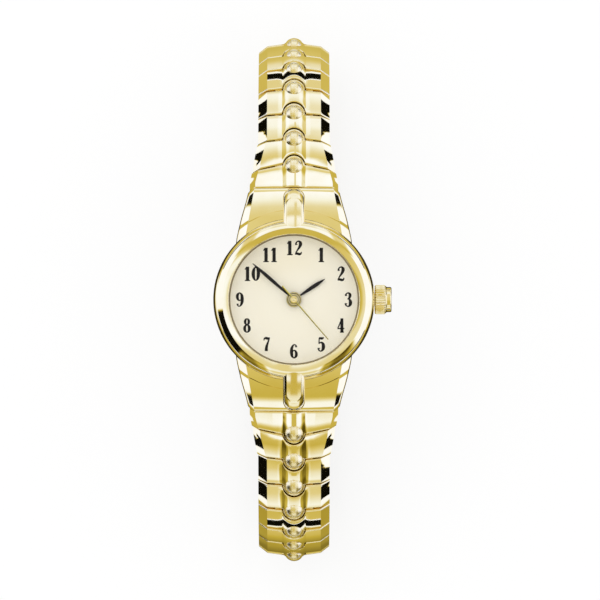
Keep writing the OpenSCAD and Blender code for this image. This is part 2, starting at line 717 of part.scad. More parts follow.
module stator() steel() difference() {
    translate([0, 0, third_z - 0.04]) linear_extrude(0.22) polygon(cal * [
        [-5, 0.5], [-2.35, 0.5], [-2.35, 2.2], [-3.4, 3], [-3.4, 4.2], [4.7, 4.2], [4.7, 6.1],
        [3.5, 6.1], [3.5, 5], [-3.5, 5], [-3.5, 6.1], [-5, 6.1]]);
    arbor(rotor_at, 1, 3, 0.7);
    arbor(screw_at[0], 1, 3, post_r + 0.06);
}
module coil() {
    color([0.72, 0.40, 0.18]) difference() {
        translate([0, coil_y, coil_z]) across(0.46, coil_half);
        translate([-core_half, coil_y - 0.27, coil_z - 0.15]) cube([2 * core_half, 0.54, 0.3]);
    }
    steel() difference() {
        translate([-core_half, coil_y - 0.25, coil_z - 0.13]) cube([2 * core_half, 0.5, 0.26]);
        translate([-core_half - 1, coil_y - 1, coil_z + 0.155]) cube([20, 2, 1]);
    }
}
module circuit_board() {
    board_z = 1.72;
    can_r = 0.34;
    color([0.12, 0.42, 0.22]) translate([0, 0, board_z]) intersection() {
        linear_extrude(0.2) polygon(cal * [[-0.9, -4], [6.7, -4], [6.7, -7.6], [-0.9, -7.6]]);
        cylinder(r = skirt_in - seat_gap, h = 1, $fn = 96);
    }
    color([0.1, 0.1, 0.1]) translate(cal * [0.6, -6.4, 0]) translate([0, 0, board_z - 0.5])
        cube([1.9, 1.9, 0.48]);
    steel() translate(cal * [2.9, -4.6, 0]) translate([0, 0, board_z - can_r - 0.05])
        rotate([0, 90, -15]) cylinder(r = can_r, h = 2.4, $fn = 24);
}
module battery() steel() translate([cell_at.x, cell_at.y, bridge_z - 0.03]) {
    cylinder(r = cell_r - 0.35, h = 0.2);
    translate([0, 0, 0.15]) cylinder(r = cell_r, h = cell_t - 0.15);
}

module setting_lever() steel() {
    difference() {
        translate([lever_x - 0.45, -lever_w, plate_z - 0.3]) cube([1.75, 2 * lever_w, 0.26]);
        translate([lever_x + 0.85, lever_w - 0.4, 1]) cylinder(r = 0.2, h = 2, $fn = 24);
    }
    translate([lever_x + 0.06, -stem_r, plate_z - 0.1])
        cube([groove_w - 0.12, 2 * stem_r, stem_z - groove_r - run_gap - plate_z + 0.1]);
}
module stem() steel() translate([0, 0, stem_z]) rotate([0, 90, 0]) difference() {
    translate([0, 0, 4]) cylinder(r = stem_r, h = crown_x + 0.9 + crown_bore_len - 4, $fn = 32);
    translate([0, 0, lever_x]) difference() {
        cylinder(r = 1, h = groove_w);
        translate([0, 0, -1]) cylinder(r = groove_r, h = 2, $fn = 32);
    }
}
module crown() gold() translate([crown_x, 0, stem_z]) rotate([0, 90, 0]) difference() {
    flutes = 34;
    union() {
        linear_extrude(crown_drum) polygon([
            for (i = [0 : flutes - 1]) for (q = [[0.1, 0], [0.35, -0.12], [0.65, -0.12], [0.9, 0]])
                (crown_r + q.y) * [cos(360 * (i + q.x) / flutes), sin(360 * (i + q.x) / flutes)]]);
        rotate_extrude() polygon([
            [0, crown_drum - 0.1], [crown_r - 0.13, crown_drum - 0.1], [crown_r - 0.13, crown_drum],
            [crown_cap_r, crown_drum + 0.15], [crown_cap_r, crown_len - 0.3],
            [crown_cap_r - 0.1, crown_len - 0.1], [crown_cap_r - 0.35, crown_len], [0, crown_len]]);
    }
    translate([0, 0, -over]) cylinder(r = crown_bore_r, h = over + crown_bore_len, $fn = 32);
    cylinder(r = stem_r + fit_gap, h = 0.9 + crown_bore_len + 0.03, $fn = 32);
}

case_body();
bezel();
crystal();
case_back();
dial();
main_plate();
train_bridge();
bridge_screws();
stator();
coil();
circuit_board();
battery();
rotor();
intermediate_wheel();
second_wheel();
third_wheel();
centre_wheel();
minute_wheel();
hour_wheel();
hour_hand();
minute_hand();
second_hand();
setting_lever();
stem();
crown();
link_centre();
for (i = [1 : side_links]) link_north(i);
for (i = [1 : side_links]) link_south(i);
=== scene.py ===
"""Small round dress watch on a closed, beaded expanding bracelet."""
import json
import math

import bmesh
import bpy
from bpy.props import FloatProperty, FloatVectorProperty, PointerProperty
from mathutils import Matrix, Vector


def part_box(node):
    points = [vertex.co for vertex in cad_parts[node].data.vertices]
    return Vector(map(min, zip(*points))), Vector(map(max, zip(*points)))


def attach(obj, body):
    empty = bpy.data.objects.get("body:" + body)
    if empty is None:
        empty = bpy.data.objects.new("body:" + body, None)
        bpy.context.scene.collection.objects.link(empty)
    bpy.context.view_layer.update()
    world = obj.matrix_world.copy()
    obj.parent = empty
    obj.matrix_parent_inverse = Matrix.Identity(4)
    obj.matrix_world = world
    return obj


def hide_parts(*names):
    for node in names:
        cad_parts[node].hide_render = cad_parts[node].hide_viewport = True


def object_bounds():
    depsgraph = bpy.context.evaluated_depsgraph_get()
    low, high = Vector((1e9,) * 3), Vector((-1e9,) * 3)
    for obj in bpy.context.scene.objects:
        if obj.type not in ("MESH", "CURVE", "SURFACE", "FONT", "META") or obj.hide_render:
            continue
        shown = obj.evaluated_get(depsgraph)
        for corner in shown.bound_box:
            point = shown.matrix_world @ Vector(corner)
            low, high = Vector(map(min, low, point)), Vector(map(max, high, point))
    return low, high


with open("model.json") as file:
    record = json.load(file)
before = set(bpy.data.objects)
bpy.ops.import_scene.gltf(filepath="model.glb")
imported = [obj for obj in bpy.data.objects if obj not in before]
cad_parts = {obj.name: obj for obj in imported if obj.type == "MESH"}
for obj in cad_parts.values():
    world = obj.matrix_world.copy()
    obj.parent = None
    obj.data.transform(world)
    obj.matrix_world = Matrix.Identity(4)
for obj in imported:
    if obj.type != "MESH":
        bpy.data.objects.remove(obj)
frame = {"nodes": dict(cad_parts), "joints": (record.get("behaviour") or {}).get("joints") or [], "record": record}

bl_info = {
    "name": "Beaded dress watch",
    "version": (1, 0, 0),
    "blender": (4, 5, 0),
    "location": "View3D > Sidebar > Watch",
    "description": "Dresses the frame of a small dress watch",
    "category": "Object",
}

MM = 0.001
FRAME_LOW, FRAME_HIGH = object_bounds()
BODY_OF = {node: body for body, nodes in frame["record"]["behaviour"]["bodies"].items() for node in nodes}
FIRST_HINGE = Vector(next(j["pos_m"] for j in frame["joints"] if j["name"] == "flex_north_1"))
BEZEL_LOW, BEZEL_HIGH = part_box("bezel")
CROWN_LOW, CROWN_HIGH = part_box("crown")
STEM_Z = (CROWN_LOW.z + CROWN_HIGH.z) / 2
DIAL_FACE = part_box("dial")[1].z


# SIZES AND COLOURS

def length(name, value, description, low=0.0, high=60.0):
    """A size in millimetres, kept in metres."""
    return FloatProperty(name=name, description=description, default=value * MM, min=low * MM,
                         max=high * MM, unit="LENGTH", precision=5)


def colour(name, value, description):
    return FloatVectorProperty(name=name, description=description, default=value, size=3, min=0.0,
                               max=1.0, subtype="COLOR")


class CaseSizes(bpy.types.PropertyGroup):
    bezel_crest: length("Bezel crest", 9.75, "Radius where the bezel's slope meets its inner ring")
    glass: length("Glass", 8.85, "Radius of the glass that shows inside the bezel")
    slope_base: length("Slope base", 4.9, "Height where the bezel's slope begins")
    crease: length("Crease", 10.45, "Radius of the faint crease in the bezel's slope")
    crease_height: length("Crease height", 6.4, "Height of the faint crease in the bezel's slope")
    band: length("Band", 10.6, "Radius of the round band")
    land: length("Land", 12.3, "Radius of the raised land round the bezel")
    hood_end: length("Hood end", 15.3, "Distance of a hood's outer end from the centre")
    hood_arc: length("Hood arc", 24.0, "Radius of the hood's curved top")
    rib_half: length("Rib half width", 1.5, "Half width of the rib along a hood")
    rib_band: length("Rib band", 1.05, "Half width of the rib's raised top")
    rib_band_end: length("Rib band end", 13.9, "Distance of the raised top's end from the centre")
    rib_arc: length("Rib arc", 16.0, "Radius of the rib's top line")
    crown: length("Crown", 2.0, "Radius of the crown over its flutes")
    crown_cap: length("Crown cap", 1.72, "Radius of the crown's smooth cap")
    flute: length("Flute", 0.13, "Depth of the crown's flutes")


class BraceletSizes(bpy.types.PropertyGroup):
    half: length("Half width", 4.9, "Half width of a plain link")
    end_half: length("End half width", 5.6, "Half width of the end link at its outer hinge")
    hood_half: length("Hood half width", 6.05, "Half width of the bracelet at the hood")
    bevel: length("Bevel", 1.2, "Width of a plain link's side bevel")
    hood_bevel: length("Hood bevel", 0.75, "Width of the side bevel at the hood")
    crown: length("Crown", 1.43, "Height of a cover's middle over the hinge line")
    rib_half: length("Rib half width", 1.45, "Half width of the strip between the beads")
    rib_fall: length("Rib fall", 0.25, "Fall from the middle to the strip's edge")
    panel_fall: length("Panel fall", 0.56, "Fall from the middle to the panel's edge")
    pitch: length("Pitch", 3.9, "Distance between the hinges of one link")
    end_pitch: length("End pitch", 2.6, "Distance between the hinges of the short end link")
    cover: length("Cover thickness", 0.32, "Thickness of a cover")
    edge: length("Edge rounding", 0.2, "Rounding of a cover's ends")
    seam_gap: length("Seam gap", 0.1, "Gap between two covers in line")
    back_gap: length("Back gap", 0.19, "The same gap in the back half, where the ring bends more")
    bead: length("Bead", 1.25, "Radius of a bead in the plane of its link")
    bead_height: length("Bead height", 1.0, "Height of a bead's widest place over the hinge line")
    bead_rise: length("Bead rise", 1.02, "Height of a bead's top over its widest place")
    bead_back: length("Bead back", 0.3, "Distance of a bead's centre before the hinge")
    collar: length("Collar", 1.45, "Radius of the collar round a bead")
    tray_depth: length("Tray depth", 1.6, "Depth of a link below its hinge line")
    tray_inset: length("Tray inset", 0.55, "How far a tray stands in from the cover's side")


class DialSizes(bpy.types.PropertyGroup):
    numeral: length("Numeral height", 1.93, "Height of a numeral")
    ring_x: length("Ring half width", 7.4, "Half width of the oval that the numerals stand on")
    ring_y: length("Ring half height", 7.05, "Half height of the oval that the numerals stand on")
    ink: length("Ink", 0.02, "Thickness of the print")


class StageSettings(bpy.types.PropertyGroup):
    camera_x: length("Camera x", 0.825, "Camera's place towards three o'clock", -90, 90)
    camera_y: length("Camera y", -0.055, "Camera's place towards twelve o'clock", -90, 90)
    camera_height: length("Camera height", 800.0, "Camera's height above the bezel", 0, 2000)
    view_width: length("View width", 81.6, "Width of the picture at the bezel's height", 0, 500)
    floor_half: length("Floor half width", 250.0, "Half width of the floor", 0, 2000)
    lamp: FloatProperty(name="Lamp", description="Power of the soft lamp", default=0.6, unit="POWER")
    daylight: FloatProperty(name="Daylight", description="Level of the even light", default=0.97)


class Finishes(bpy.types.PropertyGroup):
    gold: colour("Gold", (0.92, 0.80, 0.42), "Polished gold plate")
    # Deep gold is also painted shade where the ribs and the crown take it as a darker copy of the same gold
    gold_deep: colour("Deep gold", (0.86, 0.70, 0.30), "Gold plate where it is thicker")
    steel: colour("Steel", (0.62, 0.61, 0.59), "Bright steel")
    cream: colour("Dial", (0.92, 0.87, 0.72), "Cream dial")
    cream_warm: colour("Warm dial", (0.88, 0.79, 0.53), "Cream dial towards twelve o'clock")
    # Painted light: a paler cream that lightens the dial towards its edge, against the shade under the bezel
    cream_pale: colour("Pale dial", (0.99, 0.95, 0.82), "Cream dial towards its edge")
    black: colour("Black", (0.005, 0.004, 0.004), "Print and lacquer on the hands")
    plate: colour("Main plate", (0.74, 0.72, 0.64), "Moulded plate of the movement")
    board: colour("Board", (0.02, 0.16, 0.06), "Circuit board")
    gilt: colour("Gilt", (0.85, 0.62, 0.30), "Gilt wheels")
    copper: colour("Copper", (0.80, 0.32, 0.14), "Copper winding")


# Slope of each link below the dial's plane, from the case to the back of the ring
SLOPES = (17, 21, 25, 33, 48, 63, 67, 94, 118, 146, 168, 180, 180, 180, 180, 180, 180)

GROUPS = {"watch_case": CaseSizes, "watch_bracelet": BraceletSizes, "watch_dial": DialSizes,
          "watch_stage": StageSettings, "watch_finishes": Finishes}


# SHADER NODES

class Wire:
    """An output socket. Arithmetic on it adds Math nodes to its tree."""

    def __init__(self, web, socket):
        self.web = web
        self.socket = socket

    def of(self, name):
        """Another output of the same node."""
        return Wire(self.web, self.socket.node.outputs[name])

    def math(self, operation, *others, reflected=False):
        """A Math node on this value and others, or with this one last."""
        values = (*others, self) if reflected else (self, *others)
        return self.web.node("ShaderNodeMath", {"operation": operation}, dict(enumerate(values)))

    def __add__(self, other):
        return self.math("ADD", other)

    def __sub__(self, other):
        return self.math("SUBTRACT", other)

    def __rsub__(self, other):
        return self.math("SUBTRACT", other, reflected=True)

    def __mul__(self, other):
        return self.math("MULTIPLY", other)

    def __truediv__(self, other):
        return self.math("DIVIDE", other)

    def __rtruediv__(self, other):
        return self.math("DIVIDE", other, reflected=True)

    def __abs__(self):
        return self.math("ABSOLUTE")

    __radd__ = __add__
    __rmul__ = __mul__

    def step(self, low, high):
        """0 below low, 1 above high and smooth between; falls instead where low is above high."""
        rising = low < high
        return self.web.node("ShaderNodeMapRange", {"interpolation_type": "SMOOTHSTEP"}, {
            "Value": self, "From Min": min(low, high), "From Max": max(low, high),
            "To Min": 0.0 if rising else 1.0, "To Max": 1.0 if rising else 0.0})

    def within(self, low, high, soft):
        """1 between low and high, with soft edges."""
        return self.step(low - soft, low + soft) * self.step(high + soft, high - soft)

    def covered(self, mask, value):
        """Another value where the mask is 1."""
        return self * (1.0 - mask) + mask * value


class Web:
    """A node tree that is built one node at a time."""

    def __init__(self, tree):
        tree.nodes.clear()
        self.tree = tree

    def node(self, kind, settings=None, sockets=None, out=0):
        """Adds a node: its settings, then the values or links of its sockets. Gives one output."""
        node = self.tree.nodes.new(kind)
        for key, value in (settings or {}).items():
            if key == "stops":
                self.set_stops(node.color_ramp, value)
            else:
                setattr(node, key, value)
        for key, value in (sockets or {}).items():
            if isinstance(value, Wire):
                self.tree.links.new(value.socket, node.inputs[key])
            else:
                node.inputs[key].default_value = value
        return Wire(self, node.outputs[out]) if node.outputs else None

    @staticmethod
    def set_stops(ramp, stops):
        while len(ramp.elements) < len(stops):
            ramp.elements.new(1.0)
        for element, (place, value) in zip(ramp.elements, stops):
            element.position = place
            element.color = (value, value, value, 1.0) if isinstance(value, float) else (*value, 1.0)

    def ramp(self, factor, stops):
        return self.node("ShaderNodeValToRGB", {"stops": stops}, {"Fac": factor})

    def blend(self, factor, a, b):
        """A colour between a and b."""
        ends = [v if isinstance(v, Wire) else (*v, 1.0) for v in (a, b)]
        return self.node("ShaderNodeMix", {"data_type": "RGBA"}, {0: factor, 6: ends[0], 7: ends[1]}, 2)

    def between(self, factor, a, b):
        """A number between a and b."""
        return self.node("ShaderNodeMix", None, {0: factor, 2: a, 3: b})

    def place(self, scale=(1.0, 1.0, 1.0), centre=(0.0, 0.0, 0.0)):
        """Object coordinates in millimetres, centred and stretched."""
        spot = self.node("ShaderNodeTexCoord").of("Object")
        return self.node("ShaderNodeMapping", {"vector_type": "TEXTURE"}, {
            "Vector": spot, "Location": [c * MM for c in centre], "Scale": [MM / s for s in scale]})

    def noise(self, spot, scale, detail=2.0):
        return self.node("ShaderNodeTexNoise", None, {"Vector": spot, "Scale": scale, "Detail": detail})

    def parts(self, spot):
        """The three numbers of a vector."""
        x = self.node("ShaderNodeSeparateXYZ", None, {"Vector": spot})
        return x, x.of("Y"), x.of("Z")

    def bump(self, height, strength, distance):
        return self.node("ShaderNodeBump", None, {
            "Height": height, "Strength": strength, "Distance": distance * MM})

    def surface(self, **sockets):
        """The surface shader, joined to the material's output."""
        named = {key.replace("_", " "): value for key, value in sockets.items()}
        if isinstance(named["Base Color"], tuple):
            named["Base Color"] += (1.0,)
        shader = self.node("ShaderNodeBsdfPrincipled", None, named)
        self.node("ShaderNodeOutputMaterial", None, {"Surface": shader})

    def grained(self, grain, first, second, share, rough, bump=None, **more):
        """A surface whose colour goes from first to second with the share of its grain.
        Rough is how much the grain adds to the roughness, and the least roughness."""
        if bump:
            more["Normal"] = self.bump(grain, *bump)
        self.surface(Base_Color=self.blend(grain * share, first, second),
                     Roughness=grain * rough[0] + rough[1], **more)


def distance(x, y):
    """Distance of a point from an axis."""
    return (x * x + y * y).math("SQRT")


def finish(name, factor=1.0):
    """A finish's colour, times a factor."""
    return tuple(c * factor for c in getattr(bpy.context.scene.watch_finishes, name))


def material(build):
    """The material that a build function describes, made once and named after it."""
    name = build.__name__
    made = bpy.data.materials.get(name)
    if made is None:
        made = bpy.data.materials.new(name)
        made.use_nodes = True
        build(Web(made.node_tree))
    return made


def polished_gold(web):
    """Mirror-bright plate with faint wiping marks."""
    spot = web.place()
    cloud = web.noise(spot, 0.35)
    haze = web.noise(spot, 2.5, 4.0)
    marks = web.noise(web.place((1.0, 9.0, 1.0)), 5.0, 3.0)
    web.surface(Base_Color=web.blend(cloud, finish("gold"), finish("gold_deep")), Metallic=1.0,
                Roughness=haze * 0.03 + marks.step(0.62, 0.8) * 0.04 + 0.03,
                Normal=web.bump(cloud, 0.05, 0.02))


def satin_gold(web):
    """Fine brushing across the bracelet."""
    grain = web.noise(web.place((0.4, 14.0, 14.0)), 3.0, 4.0)
    cloud = web.noise(web.place(), 0.6)
    web.surface(Base_Color=web.blend(cloud * 0.6 + grain * 0.4, finish("gold"), finish("gold_deep")),
                Metallic=1.0, Roughness=grain * 0.18 + 0.26, Normal=web.bump(grain, 0.12, 0.02))


def fluted_gold(web):
    """Gold of the crown, with painted shade: deeper than the case's gold, and darker still between its flutes."""
    spot = web.place(centre=(0.0, 0.0, STEM_Z / MM))
    x, y, z = web.parts(spot)
    root = distance(y, z).step(2.0, 1.86)
    haze = web.noise(spot, 3.0)
    # Painted shade: the crown takes mostly the deep gold, and the roots of its flutes a little more of it
    web.surface(Base_Color=web.blend(root * 0.1 + 0.9, finish("gold"), finish("gold_deep")), Metallic=1.0,
                Roughness=haze * 0.06 + root * 0.12 + 0.12)


def bead_gold(web):
    """Tumbled gold of the beads, softer than the covers."""
    web.grained(web.noise(web.place(), 2.0, 3.0), finish("gold"), finish("gold_deep"), 1.0, (0.06, 0.26),
                Metallic=1.0)


def needle_gold(web):
    """The second hand's olive gold."""
    olive = tuple(c * k for c, k in zip(finish("gold_deep"), (0.72, 0.74, 0.3)))
    web.grained(web.noise(web.place(), 4.0), olive, finish("gold_deep"), 0.3, (0.05, 0.2), Metallic=1.0)


def rib_gold(web):
    """The hoods' ribs, in a deeper gold than the hoods: a darker copy of the same plate, as painted shade."""
    # Painted shade: the ribs take mostly the deep gold, so they look darker than the hoods of the same metal
    web.grained(web.noise(web.place(), 1.2), finish("gold_deep"), finish("gold"), 0.4, (0.05, 0.09),
                Metallic=1.0)


def hub_metal(web):
    """Turned metal of the hands' hubs, with painted shade in its grooves and at its outer edge."""
    spot = web.place()
    x, y, z = web.parts(spot)
    radius = distance(x, y)
    # Painted shade: near-black rings where the hub's grooves lie and at its outer edge
    groove = radius.within(0.53, 0.6, 0.02) + radius.within(0.78, 0.88, 0.02) + radius.step(1.0, 1.04)
    grain = web.noise(spot, 8.0, 3.0)
    base = web.blend(grain * 0.6, finish("gold"), finish("steel"))
    web.surface(Base_Color=web.blend(groove.math("MINIMUM", 1.0), base, (0.12, 0.10, 0.05)), Metallic=1.0,
                Roughness=grain * 0.12 + 0.2)


def brushed_steel(web):
    """Straight-grained steel."""
    web.grained(web.noise(web.place((0.3, 12.0, 12.0)), 3.0, 4.0), finish("steel"), finish("steel", 0.82),
                1.0, (0.15, 0.22), (0.1, 0.02), Metallic=1.0)


def turned_steel(web):
    """Steel with the fine rings of a lathe, as on the case back."""
    x, y, z = web.parts(web.place())
    rings = web.noise(web.node("ShaderNodeCombineXYZ", None, {"X": distance(x, y) * 9.0}), 1.0, 3.0)
    web.grained(rings, finish("steel"), finish("steel", 0.8), 1.0, (0.12, 0.18), (0.15, 0.02), Metallic=1.0)


def gilt_wheel(web):
    """Gilt brass with a fine grain."""
    web.grained(web.noise(web.place(), 6.0, 3.0), finish("gilt"), finish("gilt", 0.75), 1.0, (0.14, 0.2),
                Metallic=1.0)


def moulded_plate(web):
    """Moulded plastic with a fine spark-eroded texture."""
    web.grained(web.noise(web.place(), 8.0, 3.0), finish("plate"), finish("plate", 0.86), 1.0, (0.15, 0.42),
                (0.15, 0.02))


def black_lacquer(web):
    """Deep black with a soft gloss and fine orange peel."""
    web.grained(web.noise(web.place(), 9.0), finish("black"), finish("black", 2.2), 1.0, (0.12, 0.3),
                (0.05, 0.01), Specular_IOR_Level=0.2)


def glass_clear(web):
    """Mineral glass with the faintest haze of fine dust marks."""
    dust = web.noise(web.place(), 7.0, 3.0).step(0.7, 0.85)
    web.surface(Base_Color=(0.8, 0.8, 0.8), Roughness=dust * 0.03 + 0.01, Alpha=dust * 0.006 + 0.003,
                Specular_IOR_Level=0.12)


def dial_cream(web):
    """Fine-grained cream lacquer, warmer towards twelve o'clock, with painted light that pales it towards its edge
    and a painted shadow line at its edge under the bezel.
    """
    spot = web.place()
    x, y, z = web.parts(spot)
    radius = distance(x, y)
    grain = web.noise(spot, 14.0)
    base = web.blend((y - x * 0.25).step(1.0, 9.5) * 0.75, finish("cream"), finish("cream_warm"))
    # Painted light: the dial pales towards its edge to lift the shade that the bezel casts there
    base = web.blend(radius.step(4.5, 8.6) * 0.8, base, finish("cream_pale"))
    # Painted shadow: a dark gold-brown line at the dial's edge stands in for the shade and golden reflection of
    # the bezel's inner wall
    base = web.blend(radius.step(8.66, 8.72), base, (0.20, 0.14, 0.04))
    web.grained(grain, base, finish("cream", 0.93), 0.25, (0.1, 0.36), (0.05, 0.01), Coat_Weight=0.25)


def circuit_layers(web):
    """Green board with traces, its black chip and the bright quartz can."""
    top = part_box("circuit_board")[1].z / MM
    spot = web.place()
    x, y, z = web.parts(spot)
    board = z.step(top - 0.23, top - 0.21)
    chip = x.within(0.55, 2.55, 0.02) * y.within(-6.45, -4.45, 0.02) * (1.0 - board)
    tracks = web.noise(web.place((1.6, 0.5, 1.0)), 1.4, 0.0).within(0.48, 0.52, 0.01) * board
    grain = web.noise(spot, 6.0)
    metal = (1.0 - board) * (1.0 - chip)
    base = web.blend(tracks, finish("board"), finish("gilt"))
    base = web.blend(metal, base, finish("steel"))
    base = web.blend(chip, base, (0.02, 0.02, 0.022))
    web.surface(Base_Color=base, Metallic=metal + tracks * 0.8, Roughness=grain * 0.15 + 0.3)


def copper_winding(web):
    """Fine enamelled wire wound on a steel core, with painted shade between its turns."""
    spot = web.place()
    x, y, z = web.parts(spot)
    core = abs(x).step(2.79, 2.81)
    turns = web.node("ShaderNodeTexWave", {"wave_type": "BANDS", "bands_direction": "X"},
                     {"Vector": spot, "Scale": 4.0, "Distortion": 0.6}).of("Fac")
    # Painted shade: the wire is darker where the bump is low, in the grooves between its turns
    wire = web.blend(turns, finish("copper", 0.35), finish("copper"))
    web.surface(Base_Color=web.blend(core, wire, finish("steel")), Metallic=1.0,
                Roughness=turns * 0.1 + 0.28, Normal=web.bump(turns * (1.0 - core), 0.5, 0.03))


def cell_steel(web):
    """Battery can with a darker sealing ring."""
    low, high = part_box("battery")
    middle = [(low.x + high.x) / 2 / MM, (low.y + high.y) / 2 / MM, 0.0]
    x, y, z = web.parts(web.place(centre=middle))
    seal = distance(x, y).within(2.54, 2.68, 0.02) * z.step(low.z / MM + 0.3, low.z / MM + 0.1)
    grain = web.noise(web.place((0.3, 10.0, 10.0)), 3.0, 3.0)
    base = web.blend(seal, web.blend(grain, finish("steel"), finish("steel", 0.85)), (0.03, 0.03, 0.03))
    web.surface(Base_Color=base, Metallic=1.0 - seal, Roughness=grain * 0.12 + 0.25)


def paint(node, build):
    """Gives a carried-over node its material."""
    slots = frame["nodes"][node].data.materials
    slots.clear()
    slots.append(material(build))


# MESHES

def mixed(a, b, t):
    return a + (b - a) * t


def clamped(t):
    return min(1.0, max(0.0, t))


def steps_between(a, b, count):
    return [mixed(a, b, i / count) for i in range(count + 1)]


def both_sides(half):
    """Stations from minus the last to the last, from those of one half."""
    return [-a for a in reversed(half[1:])] + half


def along_line(points, t):
    """The value at t on a line of (t, value) points."""
    for (t0, v0), (t1, v1) in zip(points, points[1:]):
        if t <= t1:
            return mixed(v0, v1, max(0.0, (t - t0) / (t1 - t0)))
    return points[-1][1]


def edge_drop(inward, radius):
    """How far a rounded edge has fallen at a distance inward from it."""
    if inward >= radius:
        return 0.0
    return radius - math.sqrt(max(0.0, radius ** 2 - (radius - max(inward, 0.0)) ** 2))


def arched(a, turn, b, steps):
    """Points of a curve from a to b, pulled towards the turn."""
    return [(1 - t) ** 2 * a + 2 * t * (1 - t) * turn + t * t * b for t in steps_between(0.0, 1.0, steps)]


def rounded(points, radius, steps=4, closed=False):
    """A line of 2-D points with each corner rounded."""
    out = []
    count = len(points)
    for i, p in enumerate(points):
        corner = Vector(p)
        if not closed and i in (0, count - 1):
            out.append(corner)
            continue
        back, ahead = Vector(points[i - 1]) - corner, Vector(points[(i + 1) % count]) - corner
        cut = min(radius, back.length * 0.45, ahead.length * 0.45)
        a, b = corner + back.normalized() * cut, corner + ahead.normalized() * cut
        out += arched(a, corner, b, steps)
    return out


def bowed(low, high, low_slope, high_slope, steps=10):
    """A curve up and inwards between two outline points, with its slope at each end in degrees."""
    a, b = (Vector((-math.cos(s), math.sin(s))) for s in map(math.radians, (low_slope, high_slope)))
    gap = high - low
    turn = low + a * (gap.x * b.y - gap.y * b.x) / (a.x * b.y - a.y * b.x)
    return arched(low, turn, high, steps)


def station_sheet(across, along, place):
    """A sheet with a point for each pair of stations, set by place(a, b)."""
    bm = bmesh.new()
    bmesh.ops.create_grid(bm, x_segments=len(across) - 1, y_segments=len(along) - 1, size=1.0)
    for v in bm.verts:
        a = across[round((v.co.x + 1) / 2 * (len(across) - 1))]
        b = along[round((v.co.y + 1) / 2 * (len(along) - 1))]
        v.co = place(a, b)
    return bm


def outwards(bm):
    """Turns all faces outwards."""
    bmesh.ops.recalc_face_normals(bm, faces=bm.faces[:])
    return bm


def thicken_down(bm, under):
    """Closes a sheet into a solid: a copy of it goes down to under(point)."""
    made = bmesh.ops.extrude_face_region(bm, geom=bm.faces[:])["geom"]
    for v in made:
        if isinstance(v, bmesh.types.BMVert):
            v.co = under(v.co)
    return outwards(bm)


def thicken_by(bm, thickness):
    return thicken_down(bm, lambda p: Vector((p.x, p.y, p.z - thickness)))


def thicken_to(bm, height):
    return thicken_down(bm, lambda p: Vector((p.x, p.y, height)))


def spun(outline, steps=96, axis="Z", start=0.0, sweep=2 * math.pi, closed=False):
    """A solid of revolution from (radius, height) points."""
    bm = bmesh.new()
    verts = [bm.verts.new((r, 0.0, h)) for r, h in outline]
    edges = [bm.edges.new(pair) for pair in zip(verts, verts[1:])]
    if closed:
        edges.append(bm.edges.new((verts[-1], verts[0])))
    geom = verts + edges
    full = sweep > 2 * math.pi - 0.001
    if closed and not full:
        geom.append(bm.faces.new(verts))
    bmesh.ops.rotate(bm, verts=verts, cent=(0, 0, 0), matrix=Matrix.Rotation(start, 3, "Z"))
    bmesh.ops.spin(bm, geom=geom, cent=(0, 0, 0), axis=(0, 0, 1), dvec=(0, 0, 0), angle=sweep,
                   steps=steps, use_merge=full, use_duplicate=False)
    bmesh.ops.remove_doubles(bm, verts=bm.verts[:], dist=1e-7)
    outwards(bm)
    if axis == "X":
        bm.transform(Matrix.Rotation(math.pi / 2, 4, "Y"))
    return bm


def round_bar(low, high, radius, edge=0.1, steps=24):
    """A bar along X with rounded ends, in millimetres."""
    a, b, r = low * MM, high * MM, radius * MM
    return spun(rounded([(0.0, a), (r, a), (r, b), (0.0, b)], edge * MM, 3), steps, "X")


def lofted(loops):
    """A solid through rings of equally many points, its two ends closed."""
    count = len(loops[0])
    bm = station_sheet(range(count + 1), range(len(loops)), lambda a, b: loops[b][a % count])
    bmesh.ops.remove_doubles(bm, verts=bm.verts[:], dist=1e-8)
    bmesh.ops.holes_fill(bm, edges=[e for e in bm.edges if e.is_boundary], sides=0)
    return outwards(bm)


def shifted(bm, x=0.0, y=0.0, z=0.0):
    bmesh.ops.translate(bm, verts=bm.verts[:], vec=(x, y, z))
    return bm


def joined(parts):
    """One mesh from several."""
    whole = bmesh.new()
    for bm in parts:
        mesh = bpy.data.meshes.new("part")
        bm.to_mesh(mesh)
        bm.free()
        whole.from_mesh(mesh)
        bpy.data.meshes.remove(mesh)
    return whole


def in_scene(name, data):
    """An object of a mesh, lamp or camera, put into the scene."""
    obj = bpy.data.objects.new(name, data)
    bpy.context.scene.collection.objects.link(obj)
    return obj


def finished_mesh(name, bm, build):
    mesh = bpy.data.meshes.new(name)
    bm.to_mesh(mesh)
    bm.free()
    mesh.materials.append(material(build))
    return in_scene(name, mesh)


def piece(name, bm, build, body, slot, replaced=(), sharp=35.0, place=Matrix()):
    """Makes the object at its place, with its finish, and ties it to the frame."""
    bm.transform(place)
    for face in bm.faces:
        face.smooth = True
    for edge in bm.edges:
        if edge.is_manifold and edge.calc_face_angle(0.0) > math.radians(sharp):
            edge.smooth = False
    obj = finished_mesh(name, bm, build)
    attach(obj, body)
    if replaced:
        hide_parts(*replaced)


# BRACELET

# Seams at the hood, at the next two hinges and at all others, in millimetres: how far each lies
# before its hinge, and how much further at the bracelet's side
SEAMS = ((0.76, 0.35), (0.0, 0.82), (0.3, 0.22), (0.45, 0.0))


